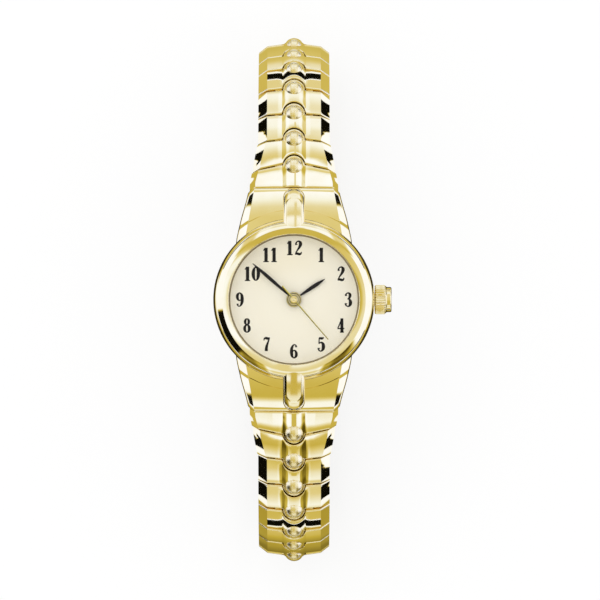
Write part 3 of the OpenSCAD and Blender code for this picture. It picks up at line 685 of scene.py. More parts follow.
class LinkForm:
    """The shape of one link's cover, in the link's own frame: hinge at 0, next hinge along +Y."""
    first_back = 9           # number of the first link with the back half's wider gap
    first_plain = 5          # number of the first link whose side edge is straight
    edge_height = -0.12 * MM
    edge_peak = 0.32         # highest place of a curved side edge, as a share of the link
    near_fall = 0.3 * MM     # its fall from there to the near end
    far_fall = 0.27 * MM     # its fall from there to the far end
    end_fall = 0.1 * MM      # fall of a cover's top to both its ends
    strip_lip = 0.05 * MM    # step down from the strip to the panels
    last_room = 0.35 * MM    # room at the far end of the link that closes the ring

    def __init__(self, sizes, number, span, last=False):
        self.s = sizes
        self.number = number
        self.span = span
        self.last = last
        self.gap = sizes.seam_gap if number < self.first_back else sizes.back_gap
        widths = [sizes.hood_half, sizes.end_half, sizes.half]
        bevels = [sizes.hood_bevel, (sizes.hood_bevel + sizes.bevel) / 2, sizes.bevel]
        near, far = min(number - 1, 2), min(number, 2)
        self.width = widths[near], widths[far]
        self.bevel = bevels[near], bevels[far]

    def seam(self, hinge, x):
        """Where the cover beyond a hinge begins, counted from that hinge."""
        s = self.s
        before, further = SEAMS[min(hinge, len(SEAMS) - 1)]
        if hinge == 0:
            out = clamped((abs(x) - s.hood_half + s.hood_bevel) / s.hood_bevel) ** 1.5
        else:
            side = s.end_half if hinge == 1 else s.half
            out = max(0.0, abs(x) - s.rib_half) / (side - s.rib_half)
        return -(before + further * out) * MM

    def round_bead(self, x, radius, y):
        """The seam's place y, or the edge of a circle round the bead where that lies further."""
        if abs(x) >= radius:
            return y
        return max(y, math.sqrt(radius ** 2 - x * x) - self.s.bead_back)

    def near(self, x):
        hinge = self.number - 1
        y = self.seam(hinge, x)
        return self.round_bead(x, self.s.collar + self.gap, y) if hinge > 0 else y

    def far(self, x):
        if self.last:
            return self.span - self.near(x) - self.last_room
        return self.span + self.round_bead(x, self.s.collar, self.seam(self.number, x) - self.gap)

    def across(self, station, y):
        """The sideways place of a station: 0 middle, 1 strip edge, 2 panel edge, 3 side."""
        t = clamped(y / self.span)
        side = mixed(*self.width, t)
        panel = side - mixed(*self.bevel, t)
        x = along_line([(0, 0.0), (1, self.s.rib_half), (2, panel), (3, side)], abs(station))
        return math.copysign(x, station)

    def side_edge(self, t):
        """Height of the outer edge, which is curved on the links beside the case."""
        if self.number >= self.first_plain:
            return self.edge_height
        near, far = max(0.0, 1 - t / self.edge_peak), max(0.0, (t - self.edge_peak) / (1 - self.edge_peak))
        return -self.near_fall * near ** 2 - self.far_fall * far ** 1.3

    def height(self, station, y):
        s = self.s
        t = clamped(y / self.span)
        a = abs(station)
        swell = -self.end_fall * (2 * t - 1) ** 2 * min(1.0, self.span / s.pitch) ** 3
        if a <= 1:
            return s.crown - s.rib_fall * a * a + swell
        lip = self.strip_lip * min(1.0, (a - 1) * 12)
        if a <= 2:
            return s.crown - mixed(s.rib_fall, s.panel_fall, a - 1) - lip + swell
        return mixed(s.crown - s.panel_fall - lip, self.side_edge(t), a - 2) + swell

    def point(self, station, along):
        """A point of the cover's top: along is from 0 to 1, or ("near" or "far", distance)."""
        y = 0.0 if isinstance(along, tuple) and along[0] == "near" else self.span
        for _ in range(4):
            x = self.across(station, y)
            low, high = self.near(x), self.far(x)
            if not isinstance(along, tuple):
                y = mixed(low + self.s.edge, high - self.s.edge, along)
            elif along[0] == "near":
                y = low + along[1]
            else:
                y = high - along[1]
        drop = edge_drop(y - low, self.s.edge) + edge_drop(high - y, self.s.edge)
        return Vector((x, y, self.height(station, y) - drop))

    def cover(self):
        fine = [self.s.edge * f for f in (0.0, 0.02, 0.08, 0.17, 0.3, 0.46, 0.64, 0.82)]
        along = [("near", d) for d in fine] + steps_between(0.0, 1.0, 6) + \
            [("far", d) for d in reversed(fine)]
        across = both_sides([math.sin(math.radians(a)) for a in range(0, 90, 12)] +
                            [1.0, 1.04, 1.1, 1.4, 1.7, 1.92, 2.0, 2.04, 2.35, 2.7, 2.95, 3.0])
        return thicken_by(station_sheet(across, along, self.point), self.s.cover)


def bead_with_collar(s, span):
    """A bead that rises from its rounded collar."""
    top = [(s.bead * math.sin(a), s.bead_height + s.bead_rise * math.cos(a))
           for a in map(math.radians, range(0, 83, 4))]
    low, high = s.bead_height + 0.02 * MM, s.bead_height + 0.2 * MM
    rim = rounded([(s.bead, low), (s.bead + 0.02 * MM, low + 0.08 * MM), (s.bead + 0.08 * MM, high),
                   (s.collar - 0.03 * MM, high - 0.05 * MM), (s.collar, low)], 0.04 * MM)
    return shifted(spun([*top, *rim, (0.0, low)], 40), y=span - s.bead_back)


def far_knuckles(reach):
    """Knuckles on the near side of a hinge, as (from, to, radius) bars along it in millimetres."""
    return (-1.52, 1.52, 0.68), (2.68, reach, 0.46), (-reach, -2.68, 0.46)


def tray_block(s, form):
    """Lower half of a link with sloped ends, and the hinge knuckles it carries."""
    half = min(form.width) - s.tray_inset
    end = [(0.8 * MM, 0.22 * MM), (0.62 * MM, -0.5 * MM), (0.5 * MM, -s.tray_depth)]
    line = end + [(form.span - y, z) for y, z in reversed(end)]
    bm = bmesh.new()
    face = bm.faces.new([bm.verts.new((-half, y, z)) for y, z in line])
    made = bmesh.ops.extrude_face_region(bm, geom=[face])["geom"]
    bmesh.ops.translate(bm, verts=[g for g in made if isinstance(g, bmesh.types.BMVert)],
                        vec=(2 * half, 0, 0))
    outwards(bm)
    bmesh.ops.bevel(bm, geom=bm.edges[:], offset=0.16 * MM, offset_type="OFFSET", segments=2,
                    profile=0.5, affect="EDGES", material=-1)
    parts = [bm, round_bar(1.6, 2.6, 0.68), round_bar(-2.6, -1.6, 0.68)]
    if not form.last:
        parts += [shifted(round_bar(*bar), y=form.span) for bar in far_knuckles(3.6)]
    return joined(parts)


class WATCH_OT_bracelet(bpy.types.Operator):
    """Covers, beads, trays and pins of all the links"""
    bl_idname = "watch.bracelet"
    bl_label = "Bracelet"

    def execute(self, context):
        s = context.scene.watch_bracelet
        near = FIRST_HINGE.copy()
        for i, slope in enumerate(SLOPES, 1):
            span = s.end_pitch if i == 1 else s.pitch
            turn = Matrix.Rotation(-math.radians(slope), 4, "X")
            place = Matrix.Translation(near) @ turn
            self.link(s, f"north_{i}", i, span, place)
            self.link(s, f"south_{i}", i, span, Matrix.Rotation(math.pi, 4, "Z") @ place)
            near += turn @ Vector((0, span, 0))
        place = Matrix.Translation(near) @ Matrix.Rotation(-math.pi, 4, "X")
        self.link(s, "centre", len(SLOPES) + 1, s.pitch, place, True)
        return {"FINISHED"}

    def link(self, s, label, number, span, place, last=False):
        node = f"link_{label}"
        form = LinkForm(s, number, span, last)
        made = [("cover", form.cover(), polished_gold, "gold"),
                ("tray", tray_block(s, form), satin_gold, "gold"),
                ("pin", round_bar(-3.0, 3.0, 0.4, 0.16, 16), brushed_steel, "bright_steel")]
        if not last:
            made.append(("bead", bead_with_collar(s, span), bead_gold, "gold"))
        for kind, bm, build, slot in made:
            piece(f"{kind}_{label}", bm, build, BODY_OF[node], slot, [node], 20.0, place)


# CASE

class HoodForm:
    """The curved hood between the bezel and the bracelet, on the twelve o'clock side."""
    middle = 8.0 * MM        # distance of its highest line from the centre
    barrel = 1.35 * MM       # radius of the hinge barrel that its top comes down to
    strip_fall = 0.1 * MM    # fall from the middle to the edge of the strip under the rib
    panel_fall = 0.4 * MM    # fall from there to the bevel's edge, at the hinge
    bevel_fall = 0.8 / 0.75  # how steeply the side bevels fall
    land_rise = 0.12 * MM    # step from the panels up to the land round the bezel
    end_edge = 0.3 * MM
    end_bend = 0.75 * MM     # how much shorter the hood is at its sides
    side_edge = 0.17 * MM
    rib_sink = 0.04 * MM     # how far the rib's inner end lies below the bezel's top
    rib_rise = 0.6 * MM      # height of the rib's outer end over the hood
    rib_thick = 0.9 * MM
    band_bow = 0.1 * MM      # how much the rib's raised top is bowed across
    band_step = 0.07 * MM    # step down from it to the rib's shoulder
    shoulder = 0.6 * MM      # fall of the shoulder to the rib's edge
    side_line = ((7.85, 7.95), (9.5, 7.6), (11.2, 7.2), (12.9, 6.7), (14.2, 6.35), (15.75, 6.05))

    def __init__(self, case, bracelet):
        self.c = case
        self.b = bracelet
        reach = FIRST_HINGE.y - self.middle
        self.arc_z = FIRST_HINGE.z - math.sqrt((case.hood_arc - self.barrel) ** 2 - reach ** 2)
        self.inner = BEZEL_HIGH.x + 0.05 * MM

    def side(self, y):
        """Half width of the hood."""
        smooth = [along_line(self.side_line, y / MM + d) for d in (-0.6, -0.3, 0.0, 0.3, 0.6)]
        return sum(smooth) / len(smooth) * MM

    def panel(self, y):
        """Half width of the hood's panels, inside the side bevels."""
        outer = self.b.hood_half - self.b.hood_bevel
        return along_line([(7.85 * MM, 6.75 * MM), (FIRST_HINGE.y, outer)], y)

    def across(self, station, y):
        """Sideways place: 0 middle, 1 panel edge, 2 side."""
        x = along_line([(0, 0.0), (1, self.panel(y)), (2, self.side(y))], abs(station))
        return math.copysign(x, station)

    def end(self, station):
        return self.c.hood_end - self.end_bend * max(0.0, abs(station) - 1.0) ** 1.5

    def start(self, station, radius):
        y = radius
        for _ in range(8):
            y = math.sqrt(radius ** 2 - self.across(station, y) ** 2)
        return y

    def arc(self, y, drop):
        """Height of the top where it lies a drop below its middle line."""
        return self.arc_z + math.sqrt((self.c.hood_arc - drop) ** 2 - (y - self.middle) ** 2)

    def point(self, station, along):
        start, land = self.start(station, self.inner), self.start(station, self.c.land)
        end = self.end(station)
        if along <= 1:
            y = mixed(start, land, along)
        elif along <= 2:
            y = mixed(land, end - self.end_edge, along - 1)
        else:
            y = end - self.end_edge * (3 - along) ** 2
        x = self.across(station, y)
        flat = min(abs(x), self.panel(y))
        slope = self.panel_fall / (self.b.hood_half - self.b.hood_bevel - self.b.rib_half)
        z = self.arc(y, self.strip_fall + slope * (flat - self.b.rib_half))
        if along < 0.98:
            z += self.land_rise
        z -= (abs(x) - flat) * self.bevel_fall
        z -= edge_drop(end - y, self.end_edge) + edge_drop(self.side(y) - abs(x), self.side_edge)
        return Vector((x, y, z))

    def shell(self):
        across = both_sides([0.0, 0.2, 0.4, 0.6, 0.8, 0.96, 1.0, 1.04, 1.3, 1.6, 1.82, 1.86, 1.9, 1.94,
                             1.97, 1.99, 2.0])
        along = [0.0, 0.25, 0.5, 0.75, 0.93] + steps_between(1.0, 2.0, 9) + [2.25, 2.5, 2.75, 3.0]
        base = FIRST_HINGE.z - self.b.tray_depth
        inner, root = self.inner + 0.01 * MM, self.c.band - 0.2 * MM

        def under(p):
            flat = Vector((p.x, p.y))
            if flat.length < inner:
                flat *= root / flat.length
            return Vector((flat.x, flat.y, base))
        return thicken_down(station_sheet(across, along, self.point), under)

    def rib(self):
        """Rounded rib with a full nose, from the bezel's ring to the hood's end."""
        c = self.c
        first, last = c.bezel_crest, c.hood_end
        low = Vector((first, BEZEL_HIGH.z - self.rib_sink))
        high = Vector((last, self.arc(last, 0.0) + self.rib_rise))
        run = high - low
        out = Vector((run.y, -run.x)).normalized()
        centre = (low + high) / 2 + out * math.sqrt(c.rib_arc ** 2 - run.length_squared / 4)
        nose = last - c.rib_half

        def place(station, along):
            x = c.rib_half * math.sin(station * math.pi / 2)
            if along <= 1:
                y = mixed(first, nose, along)
            else:
                y = nose + math.sqrt(max(0.0, c.rib_half ** 2 - x * x)) * math.sin((along - 1) * math.pi / 2)
            top = centre.y + math.sqrt(c.rib_arc ** 2 - (y - centre.x) ** 2)
            outer = c.rib_half - math.hypot(x, max(0.0, y - nose))
            inner = math.hypot(x, max(0.0, y - (c.rib_band_end - c.rib_band))) - c.rib_band
            fall = self.band_bow * min(1.0, x * x / c.rib_band ** 2)
            if inner > 0:
                t = min(1.0, inner / max(inner + outer, 1e-6))
                fall += self.band_step * min(1.0, inner / (0.06 * MM))
                fall += self.shoulder * (1 - math.sqrt(1 - t * t))
            return Vector((x, y, top - fall))

        along = steps_between(0.0, 0.7, 7)[:-1] + steps_between(0.7, 1.0, 24)[:-1] + \
            steps_between(1.0, 2.0, 12)
        return thicken_by(station_sheet(steps_between(-1.0, 1.0, 48), along, place), self.rib_thick)

    def knuckles(self):
        """The hinge knuckles at the hood's end."""
        return joined([shifted(round_bar(*bar), *FIRST_HINGE) for bar in far_knuckles(4.4)])


class WATCH_OT_case(bpy.types.Operator):
    """Band, hoods, ribs and crown tube"""
    bl_idname = "watch.case"
    bl_label = "Case"

    def execute(self, context):
        c = context.scene.watch_case
        half_slot = math.asin(0.42 * MM / c.band)
        outer = c.band / MM
        # Section of the band, from its inner foot outwards and round
        outline = [(r * MM, z * MM) for r, z in [
            (9.95, 0.82), (9.95, 0.5), (outer, 0.5), (outer, 4.4), (9.6, 4.4), (9.6, 5.52),
            (8.92, 5.52), (8.92, 4.04), (9.25, 4.04), (9.25, 0.82)]]
        band = spun(rounded(outline, 0.2 * MM, 3, True), 120, "Z", half_slot,
                    2 * math.pi - 2 * half_slot, True)
        piece("case_band", band, polished_gold, "case", "gold", ["case_body"])
        root, end = c.band - 0.25 * MM, 11.9 * MM
        tube = rounded([(0.39 * MM, root), (0.8 * MM, root), (0.8 * MM, end), (0.39 * MM, end)],
                       0.08 * MM, 3, True)
        piece("crown_tube", shifted(spun(tube, 40, "X", closed=True), z=STEM_Z), satin_gold, "case",
              "gold", ["case_body"])
        form = HoodForm(c, context.scene.watch_bracelet)
        for side, turn in (("north", 0.0), ("south", math.pi)):
            for kind, bm, build, sharp in (("hood", form.shell(), polished_gold, 30.0),
                                           ("hood_rib", form.rib(), rib_gold, 30.0),
                                           ("hood_knuckles", form.knuckles(), satin_gold, 35.0)):
                piece(f"{kind}_{side}", bm, build, "case", "gold", ["case_body"], sharp,
                      Matrix.Rotation(turn, 4, "Z"))
        paint("case_back", turned_steel)
        return {"FINISHED"}


class WATCH_OT_bezel(bpy.types.Operator):
    """Bezel with its curved slope and inner ring"""
    bl_idname = "watch.bezel"
    bl_label = "Bezel"

    def execute(self, context):
        c = context.scene.watch_case
        outer, top, base = BEZEL_HIGH.x, BEZEL_HIGH.z, BEZEL_LOW.z
        neck, foot, lip, step = 9.35 * MM, 9.65 * MM, 6.22 * MM, 5.57 * MM
        crease = Vector((c.crease, c.crease_height))
        slope = bowed(Vector((outer, c.slope_base)), crease, 90, 50) + \
            bowed(crease, Vector((c.bezel_crest, top)), 34, 24)[1:]
        ring = rounded([slope[-1], (c.glass + 0.08 * MM, top - 0.16 * MM), (c.glass + 0.02 * MM, lip),
                        (neck, lip), (neck, step), (foot, step), (foot, base)], 0.07 * MM)
        bm = spun([(outer, base), *slope, *ring[1:]], 144, closed=True)
        piece("bezel_ring", bm, polished_gold, "case", "gold", ["bezel"], 30.0)
        paint("crystal", glass_clear)
        return {"FINISHED"}


class WATCH_OT_crown(bpy.types.Operator):
    """Fluted crown with its smooth cap"""
    bl_idname = "watch.crown"
    bl_label = "Crown"

    def execute(self, context):
        c = context.scene.watch_case
        flutes, fine = 34, 6
        angles = [2 * math.pi * k / (flutes * fine) for k in range(flutes * fine)]

        def ring(x, radius, depth=0.0):
            points = []
            for a in angles:
                r = radius - depth * (0.5 + 0.5 * math.cos(flutes * a)) ** 0.7
                points.append(Vector((CROWN_LOW.x + x * MM, r * math.cos(a), STEM_Z + r * math.sin(a))))
            return points
        bore, edge, shoulder = 0.9 * MM, c.crown - 0.16 * MM, c.crown - 0.06 * MM
        drum = lofted([
            ring(1.3, 0.38 * MM), ring(1.3, bore), ring(0.0, bore), ring(0.0, edge),
            ring(0.05, shoulder, c.flute * 0.6), ring(0.16, c.crown, c.flute), ring(1.3, c.crown, c.flute),
            ring(1.4, shoulder, c.flute * 0.6), ring(1.45, edge), ring(1.45, 1.2 * MM)])
        foot = c.crown_cap + 0.14 * MM
        cap = spun(rounded([(0.0, 1.4 * MM), (foot, 1.4 * MM), (foot, 1.52 * MM), (c.crown_cap, 1.6 * MM),
                            (c.crown_cap, 2.28 * MM), (0.0, 2.3 * MM)], 0.22 * MM, 6), 64, "X")
        piece("crown_drum", drum, fluted_gold, "winding_stem", "gold", ["crown"], 40.0)
        piece("crown_cap", shifted(cap, CROWN_LOW.x, 0.0, STEM_Z), polished_gold, "winding_stem", "gold",
              ["crown"])
        paint("stem", brushed_steel)
        return {"FINISHED"}


# DIAL AND HANDS

def oval(half, middle, tall, swell, power, step):
    """A closed stroke that is thin at its top and foot and swells at its sides."""
    return [(half * math.sin(a), middle + tall * math.cos(a), 5.5 + swell * abs(math.sin(a)) ** power)
            for a in map(math.radians, range(0, 361, step))]


# Strokes of each numeral as (x, y, width) points, in hundredths of its height from the foot's middle
STROKES = {
    "0": [oval(18, 50, 46, 12, 1.6, 20)],
    "1": [[(2, 100, 17), (2, 0, 17)], [(-17, 2.5, 5), (21, 2.5, 5)],
          [(-17, 80, 4), (-9, 88, 6), (-2, 97, 7)]],
    "2": [[(-14, 71, 13), (-17, 82, 8), (-9, 94, 6), (3, 97, 8), (13, 89, 15), (15, 74, 17), (6, 53, 12),
           (-8, 32, 7), (-19, 13, 5), (-21, 3, 5)],
          [(-21, 4, 5), (-10, 10, 12), (6, 6, 13), (17, 9, 9), (22, 22, 4)]],
    "3": [[(-15, 76, 13), (-16, 86, 8), (-5, 96.5, 6), (5, 95, 10), (13, 84, 15), (10, 66, 13), (0, 55, 5)],
          [(-6, 55, 4), (5, 53, 7), (14, 42, 15), (16, 22, 17), (7, 5, 10), (-6, 3, 6), (-17, 12, 8),
           (-16, 25, 13)]],
    "4": [[(6, 98, 6), (-8, 62, 6), (-22, 30, 5)], [(-24, 28, 6), (24, 28, 6)], [(7, 100, 15), (7, 0, 16)],
          [(-7, 2.5, 5), (21, 2.5, 5)]],
    "5": [[(-14, 95, 9), (2, 92, 13), (13, 94, 9), (19, 100, 4)], [(-13, 96, 5), (-15, 54, 5)],
          [(-15, 55, 5), (-3, 63, 7), (9, 59, 12), (16, 44, 17), (15, 22, 17), (5, 5, 9), (-7, 3, 6),
           (-17, 12, 8), (-16, 25, 13)]],
    "6": [[(14, 79, 12), (15, 89, 7), (5, 97, 5), (-7, 90, 9), (-16, 68, 15), (-17, 40, 17), (-13, 16, 13),
           (0, 3, 6), (13, 13, 13), (17, 30, 15), (12, 49, 11), (1, 56, 6), (-10, 49, 5)]],
    "7": [[(-20, 77, 4), (-18, 90, 7), (-6, 94, 13), (8, 91, 13), (20, 97, 5)],
          [(19, 95, 5), (8, 64, 9), (-2, 32, 14), (-4, 2, 17)]],
    "8": [oval(13, 76, 20.5, 7.5, 1.4, 24), oval(16.5, 28, 25, 9.5, 1.4, 24)],
}
STROKES["9"] = [[(-x, 100 - y, w) for x, y, w in line] for line in STROKES["6"]]


def curve_point(points, t):
    """A point of the smooth curve through control points; t counts the points."""
    i = min(int(t), len(points) - 2)
    f = t - i
    near, far = points[i], points[i + 1]
    before = points[i - 1] if i > 0 else near * 2 - far
    after = points[i + 2] if i + 2 < len(points) else far * 2 - near
    return 0.5 * (2 * near + (far - before) * f + (2 * before - 5 * near + 4 * far - after) * f ** 2
                  + (3 * near - before - 3 * far + after) * f ** 3)


def ink_stroke(line, size, foot, ink):
    """One stroke of a numeral, as a thin raised ribbon on the dial."""
    points = [Vector([v / 100 for v in p]) for p in line]
    last = len(points) - 1
    fine = 1 if last == 1 else 4

    def place(side, t):
        here = curve_point(points, t)
        ahead = curve_point(points, min(t + 0.02, last)) - curve_point(points, max(t - 0.02, 0.0))
        out = Vector((ahead.y, -ahead.x)).normalized() * side * (here.z * 1.3 + 0.012) / 2
        return Vector((*(foot + (here.xy + out) * size), DIAL_FACE + ink))
    sheet = station_sheet([-1.0, 1.0], steps_between(0.0, float(last), last * fine), place)
    return thicken_to(sheet, DIAL_FACE - ink / 2)


class WATCH_OT_dial(bpy.types.Operator):
    """Cream dial and its twelve printed numerals"""
    bl_idname = "watch.dial"
    bl_label = "Dial"

    def execute(self, context):
        s = context.scene.watch_dial
        paint("dial", dial_cream)
        inward = {10: 0.62 * MM, 11: 0.4 * MM}
        spacing = {10: 1.17 * MM, 11: 1.1 * MM, 12: 1.2 * MM}
        for hour in range(1, 13):
            a = math.radians(hour * 30)
            x = s.ring_x * math.sin(a) + inward.get(hour, 0.0)
            y = s.ring_y * math.cos(a) - s.numeral / 2
            digits = str(hour)
            parts = []
            for k, digit in enumerate(digits):
                shift = (k - (len(digits) - 1) / 2) * spacing.get(hour, 0.0)
                parts += [ink_stroke(line, s.numeral, Vector((x + shift, y)), s.ink)
                          for line in STROKES[digit]]
            piece(f"numeral_{hour}", joined(parts), black_lacquer, "case", "hand_black")
        return {"FINISHED"}


def hand_leaf(widths, low, thick, ridge):
    """A slim hand along +Y: its half width at each distance, with a soft ridge along the middle."""
    half = dict(widths)
    sheet = station_sheet([-1.0, -0.5, 0.0, 0.5, 1.0], list(half),
                          lambda side, d: Vector((side * half[d], d, low + thick - ridge * side * side)))
    return thicken_to(sheet, low)


def leaf_widths(start, end, root, wide, tip=0.04 * MM, widest=0.62):
    """Half widths of a leaf with a rounded tip, widest at a share of its length."""
    out = []
    for t in steps_between(0.0, 1.0, 24):
        if t < widest:
            w = mixed(root, wide, math.sin(t / widest * math.pi / 2))
        else:
            w = mixed(wide, tip, ((t - widest) / (1 - widest)) ** 1.7)
        out.append((mixed(start, end, t), w))
    out.append((end + tip * 0.6, tip * 0.6))
    return out


def hub_ring(outer, bore, low, high):
    """A turned hub with a groove and a raised lip."""
    mid, half = mixed(bore, outer, 0.55), 0.05 * MM
    outline = [(bore, low), (outer, low), (outer, high), (mid + half, high), (mid, high - half),
               (mid - half, high), (bore, high)]
    return spun(rounded(outline, 0.035 * MM, 3, True), 64, closed=True)


def pointing(node):
    """How a hand is turned from twelve o'clock, and how far its tip is from the centre."""
    tips = [(math.hypot(v.co.x, v.co.y), v.co.x, v.co.y) for v in frame["nodes"][node].data.vertices]
    reach, x, y = max(tips)
    return Matrix.Rotation(-math.atan2(x, y), 4, "Z"), reach


class WATCH_OT_hands(bpy.types.Operator):
    """Black hour and minute hands, gold second hand and their hubs"""
    bl_idname = "watch.hands"
    bl_label = "Hands"

    def execute(self, context):
        for kind, body, radius, bore, wide in (("hour", "hour_arbor", 1.05, 0.6, 0.26),
                                               ("minute", "centre_arbor", 0.8, 0.36, 0.24)):
            node = f"{kind}_hand"
            low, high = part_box(node)
            turn, reach = pointing(node)
            widths = leaf_widths(radius * 0.85 * MM, reach - 0.03 * MM, 0.1 * MM, wide * MM)
            piece(f"{kind}_leaf", hand_leaf(widths, low.z, 0.12 * MM, 0.05 * MM), black_lacquer, body,
                  "hand_black", [node], place=turn)
            piece(f"{kind}_hub", hub_ring(radius * MM, bore * MM, low.z, high.z), hub_metal, body, "gold",
                  [node])
        low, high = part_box("second_hand")
        turn, reach = pointing("second_hand")
        tail, root, tip = 2.45 * MM, 0.12 * MM, 0.065 * MM
        widths = [(mixed(-tail, reach, t), mixed(root, tip, t)) for t in steps_between(0, 1, 12)]
        needle = hand_leaf(widths, low.z + 0.1 * MM, 0.1 * MM, 0.06 * MM)
        piece("second_needle", needle, needle_gold, "second_arbor", "gold", ["second_hand"], place=turn)
        top, under, bore, outer = high.z, high.z - 0.1 * MM, 0.14 * MM, 0.5 * MM
        cap = rounded([(bore, low.z), (outer, low.z), (outer, top - 0.02 * MM), (0.3 * MM, top),
                       (0.2 * MM, top - 0.06 * MM), (0.1 * MM, top), (0.0, top + 0.01 * MM)], 0.04 * MM, 3)
        piece("second_hub", spun([(0.0, under), (bore, under), *cap], 48), polished_gold, "second_arbor",
              "gold", ["second_hand"])
        return {"FINISHED"}


class WATCH_OT_movement(bpy.types.Operator):
    """Finishes of the movement's parts"""
    bl_idname = "watch.movement"
    bl_label = "Movement"

    def execute(self, context):
        finishes = {
            moulded_plate: ["main_plate"],
            brushed_steel: ["train_bridge", "stator", "setting_lever", "bridge_screws", "rotor"],
            gilt_wheel: ["intermediate_wheel", "second_wheel", "third_wheel", "centre_wheel",
                         "minute_wheel", "hour_wheel"],
            copper_winding: ["coil"],
            circuit_layers: ["circuit_board"],
            cell_steel: ["battery"],
        }
        for build, nodes in finishes.items():
            for node in nodes:
                paint(node, build)
        return {"FINISHED"}


# STAGE

# Level of the studio's strips by angle: 0 straight up, 90 towards twelve o'clock, -90 towards six
STRIPS = ((-102, 0.9), (-101, 0.0), (-97, 0.0), (-96, 0.5), (-88, 0.42), (-80, 0.72), (-74, 0.82),
          (-61, 0.56), (-57, 0.8), (-50, 0.68), (-42, 0.42), (-38, 0.46), (-35, 0.9), (-31, 0.85),
          (-27, 0.42), (-17, 0.45), (0, 0.57), (17, 0.57), (24, 0.64), (30, 0.84), (36, 1.0), (39, 0.56),
          (43, 0.62), (51, 0.84), (59, 0.88), (61, 0.68), (74, 0.86), (82, 0.6), (96, 0.6), (97, 0.0),
          (101, 0.0), (102, 1.0))

# Colour of a card by its level
TONES = [(0.0, (0.004, 0.004, 0.003)), (0.18, (0.12, 0.09, 0.01)), (0.4, (0.62, 0.53, 0.12)),
         (0.55, (0.80, 0.74, 0.42)), (0.8, (0.96, 1.0, 1.0)), (1.0, (1.0, 1.0, 1.0))]


def tone(web, level):
    """Studio light of a level: black cards, warm grey ones and white ones that outshine the paper."""
    lift = web.node("ShaderNodeVectorMath", {"operation": "SCALE"}, {
        0: (0.14, 0.3, 1.4), "Scale": level.step(0.5, 1.0)})
    return web.node("ShaderNodeVectorMath", {"operation": "ADD"}, {0: web.ramp(level, TONES), 1: lift})


def studio_light(web, daylight):
    """White to the camera, even for matt surfaces, and a studio of cards in polished metal."""
    x, y, z = web.parts(web.node("ShaderNodeTexCoord").of("Generated"))
    side = abs(x)
    lean = y.math("ARCTAN2", z) / (2 * math.pi) + 0.5
    around = y.math("ARCTAN2", x) * (180 / math.pi)
    rise = y / (z + 0.001)
    above = z.step(0.3, 0.4)
    # The strips, dimmer towards their ends, with white walls on both sides
    level = web.ramp(lean, [(0.5 + d / 360, v) for d, v in STRIPS])
    level = level * (1.0 - side.within(0.44, 0.62, 0.04) * 0.3) + side.within(0.27, 0.42, 0.03) * 0.08
    level = level.covered(side.step(0.62, 0.72), 1.0)
    # A brighter card on the right and two narrow ones for the middle of ribs and strips
    right = x.within(0.32, 0.62, 0.03) * z.step(0.5, 0.6) * (1.0 - abs(y).step(0.35, 0.5))
    level = level + right * 0.28
    level = level.covered((1.0 - side.step(0.13, 0.17)) * rise.within(-1.2, -0.36, 0.03) * above, 0.44)
    level = level.covered(x.within(0.02, 0.12, 0.02) * rise.within(0.36, 1.3, 0.03) * above, 0.6)
    # A warm wall behind six o'clock, black cards in the corners and low on the left
    warm = around.within(-142, -36, 6) * z.within(-0.1, 0.7, 0.08) * side.step(0.29, 0.36)
    level = level * (1.0 - warm * (0.5 + x.step(0.1, 0.3) * 0.06))
    slant = abs(y / (x * x + y * y + 0.0001).math("SQRT"))
    corner = slant.within(0.4, 0.82, 0.02) * side.step(0.5, 0.55) * z.within(-0.2, 0.15, 0.02)
    card = around.within(-172, -136, 2) * z.within(-0.05, 0.66, 0.03)
    glossy = tone(web, level * (1.0 - corner.math("MAXIMUM", card)))
    path = web.node("ShaderNodeLightPath")
    shows = path.of("Is Camera Ray").math("MAXIMUM", path.of("Is Transmission Ray"))
    seen = web.blend(shows, (daylight, daylight, daylight), (1.0, 1.0, 1.0))
    seen = web.blend(path.of("Is Glossy Ray"), seen, glossy)
    back = web.node("ShaderNodeBackground", None, {"Color": seen, "Strength": 1.0})
    web.node("ShaderNodeOutputWorld", None, {"Surface": back})


def floor_paper(web):
    """White paper that keeps the object's shadow. Polished metal sees it as the studio's floor, with painted
    shadow that darkens it towards and under the watch.
    """
    spot = web.place()
    x, y, z = web.parts(spot)
    wide, deep = abs(x), abs(y)
    reach = distance(x, y) / 150
    towards_twelve = y.step(-25, 25)
    # Painted shadow: the level that polished metal sees falls towards the watch
    south = web.ramp(reach, [(0.3, 0.24), (0.4, 0.42), (0.5, 0.62), (0.8, 0.95)])
    north = web.ramp(reach, [(0.3, 0.44), (0.36, 0.5), (0.43, 0.7), (0.55, 0.95)])
    level = web.between(towards_twelve, south, north)
    # Darker sheets lie beside the watch and far out for the links' sloped sides, and a near-black one under the
    # watch is painted shadow
    for zone, shade in (
            (wide.within(12, 60, 2) * deep.within(30, 90, 3), web.between(towards_twelve, 0.33, 0.46)),
            (wide.within(54, 112, 5) * deep.within(22, 74, 4), 0.42),
            (wide.within(8, 58, 2) * (1.0 - deep.step(26, 31)), 0.06),
            (wide.step(150, 158) * (deep / (wide + 0.01)).within(0.43, 1.1, 0.02), 0.0),
            (deep.within(108, 212, 2) * (1.0 - wide.step(58, 64)), 0.0)):
        level = level.covered(zone, shade)
    grain = web.noise(spot, 0.8, 3.0)
    paper = web.node("ShaderNodeBsdfDiffuse", None, {
        "Color": web.blend(grain * 0.1, (0.97, 0.97, 0.97), (0.93, 0.93, 0.93))})
    path = web.node("ShaderNodeLightPath")
    lit = web.node("ShaderNodeEmission", None, {"Color": (1.0, 1.0, 1.0, 1.0), "Strength": 1.0})
    card = web.node("ShaderNodeEmission", None, {"Color": tone(web, level), "Strength": 1.0})
    shown = web.node("ShaderNodeMixShader", None, {0: path.of("Is Camera Ray") * 0.8, 1: paper, 2: lit})
    both = web.node("ShaderNodeMixShader", None, {0: path.of("Is Glossy Ray"), 1: shown, 2: card})
    web.node("ShaderNodeOutputMaterial", None, {"Surface": both})


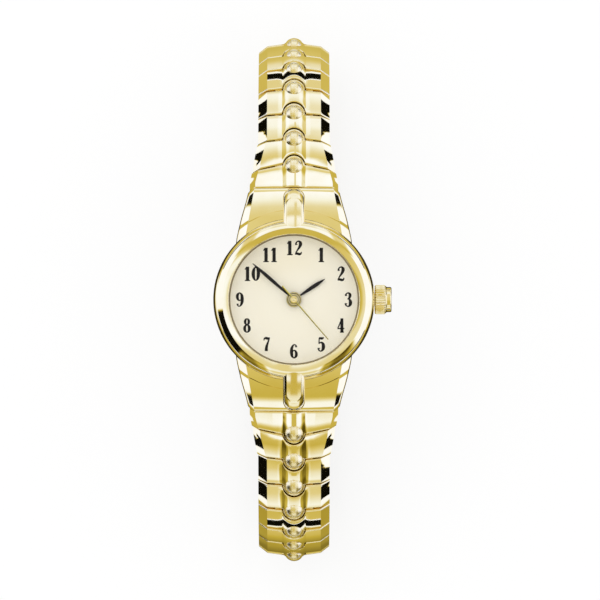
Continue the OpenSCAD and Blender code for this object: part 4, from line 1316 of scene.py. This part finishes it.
class WATCH_OT_stage(bpy.types.Operator):
    """Floor, light and camera"""
    bl_idname = "watch.stage"
    bl_label = "Stage"

    def execute(self, context):
        scene = context.scene
        stage = scene.watch_stage
        scene.view_settings.view_transform = "Standard"
        bm = bmesh.new()
        bmesh.ops.create_grid(bm, x_segments=8, y_segments=8, size=stage.floor_half)
        finished_mesh("floor", shifted(bm, z=FRAME_LOW.z), floor_paper)

        world = bpy.data.worlds.new("studio")
        world.use_nodes = True
        scene.world = world
        studio_light(Web(world.node_tree), stage.daylight)

        lamp = bpy.data.lights.new("soft_lamp", "AREA")
        lamp.shape = "DISK"
        lamp.size = 0.5
        lamp.energy = stage.lamp
        holder = in_scene("soft_lamp", lamp)
        holder.location = (-0.15, 0.2, 0.6)
        holder.rotation_euler = (-holder.location).to_track_quat("-Z", "Y").to_euler()
        holder.visible_glossy = False

        camera = bpy.data.cameras.new("camera")
        camera.sensor_width = 36.0
        camera.lens = camera.sensor_width * stage.camera_height / stage.view_width
        camera.clip_start = 0.01
        camera.clip_end = 10.0
        scene.camera = in_scene("camera", camera)
        scene.camera.location = (stage.camera_x, stage.camera_y, BEZEL_HIGH.z + stage.camera_height)
        return {"FINISHED"}


# THE ADD-ON

OPERATORS = (WATCH_OT_stage, WATCH_OT_case, WATCH_OT_bezel, WATCH_OT_crown, WATCH_OT_dial, WATCH_OT_hands,
             WATCH_OT_movement, WATCH_OT_bracelet)


class WATCH_PT_panel(bpy.types.Panel):
    """Lists the watch's sizes, colours and pieces"""
    bl_idname = "WATCH_PT_panel"
    bl_label = "Watch"
    bl_space_type = "VIEW_3D"
    bl_region_type = "UI"
    bl_category = "Watch"

    def draw(self, context):
        for group in GROUPS:
            box = self.layout.box()
            settings = getattr(context.scene, group)
            for name in settings.__annotations__:
                box.prop(settings, name)
        for operator in OPERATORS:
            self.layout.operator(operator.bl_idname)


CLASSES = (*GROUPS.values(), *OPERATORS, WATCH_PT_panel)


def register():
    for cls in CLASSES:
        bpy.utils.register_class(cls)
    for name, group in GROUPS.items():
        setattr(bpy.types.Scene, name, PointerProperty(type=group))


def unregister():
    for name in GROUPS:
        delattr(bpy.types.Scene, name)
    for cls in reversed(CLASSES):
        bpy.utils.unregister_class(cls)


def main():
    register()
    for operator in OPERATORS:
        family, name = operator.bl_idname.split(".")
        getattr(getattr(bpy.ops, family), name)()


if __name__ == "__main__":
    main()
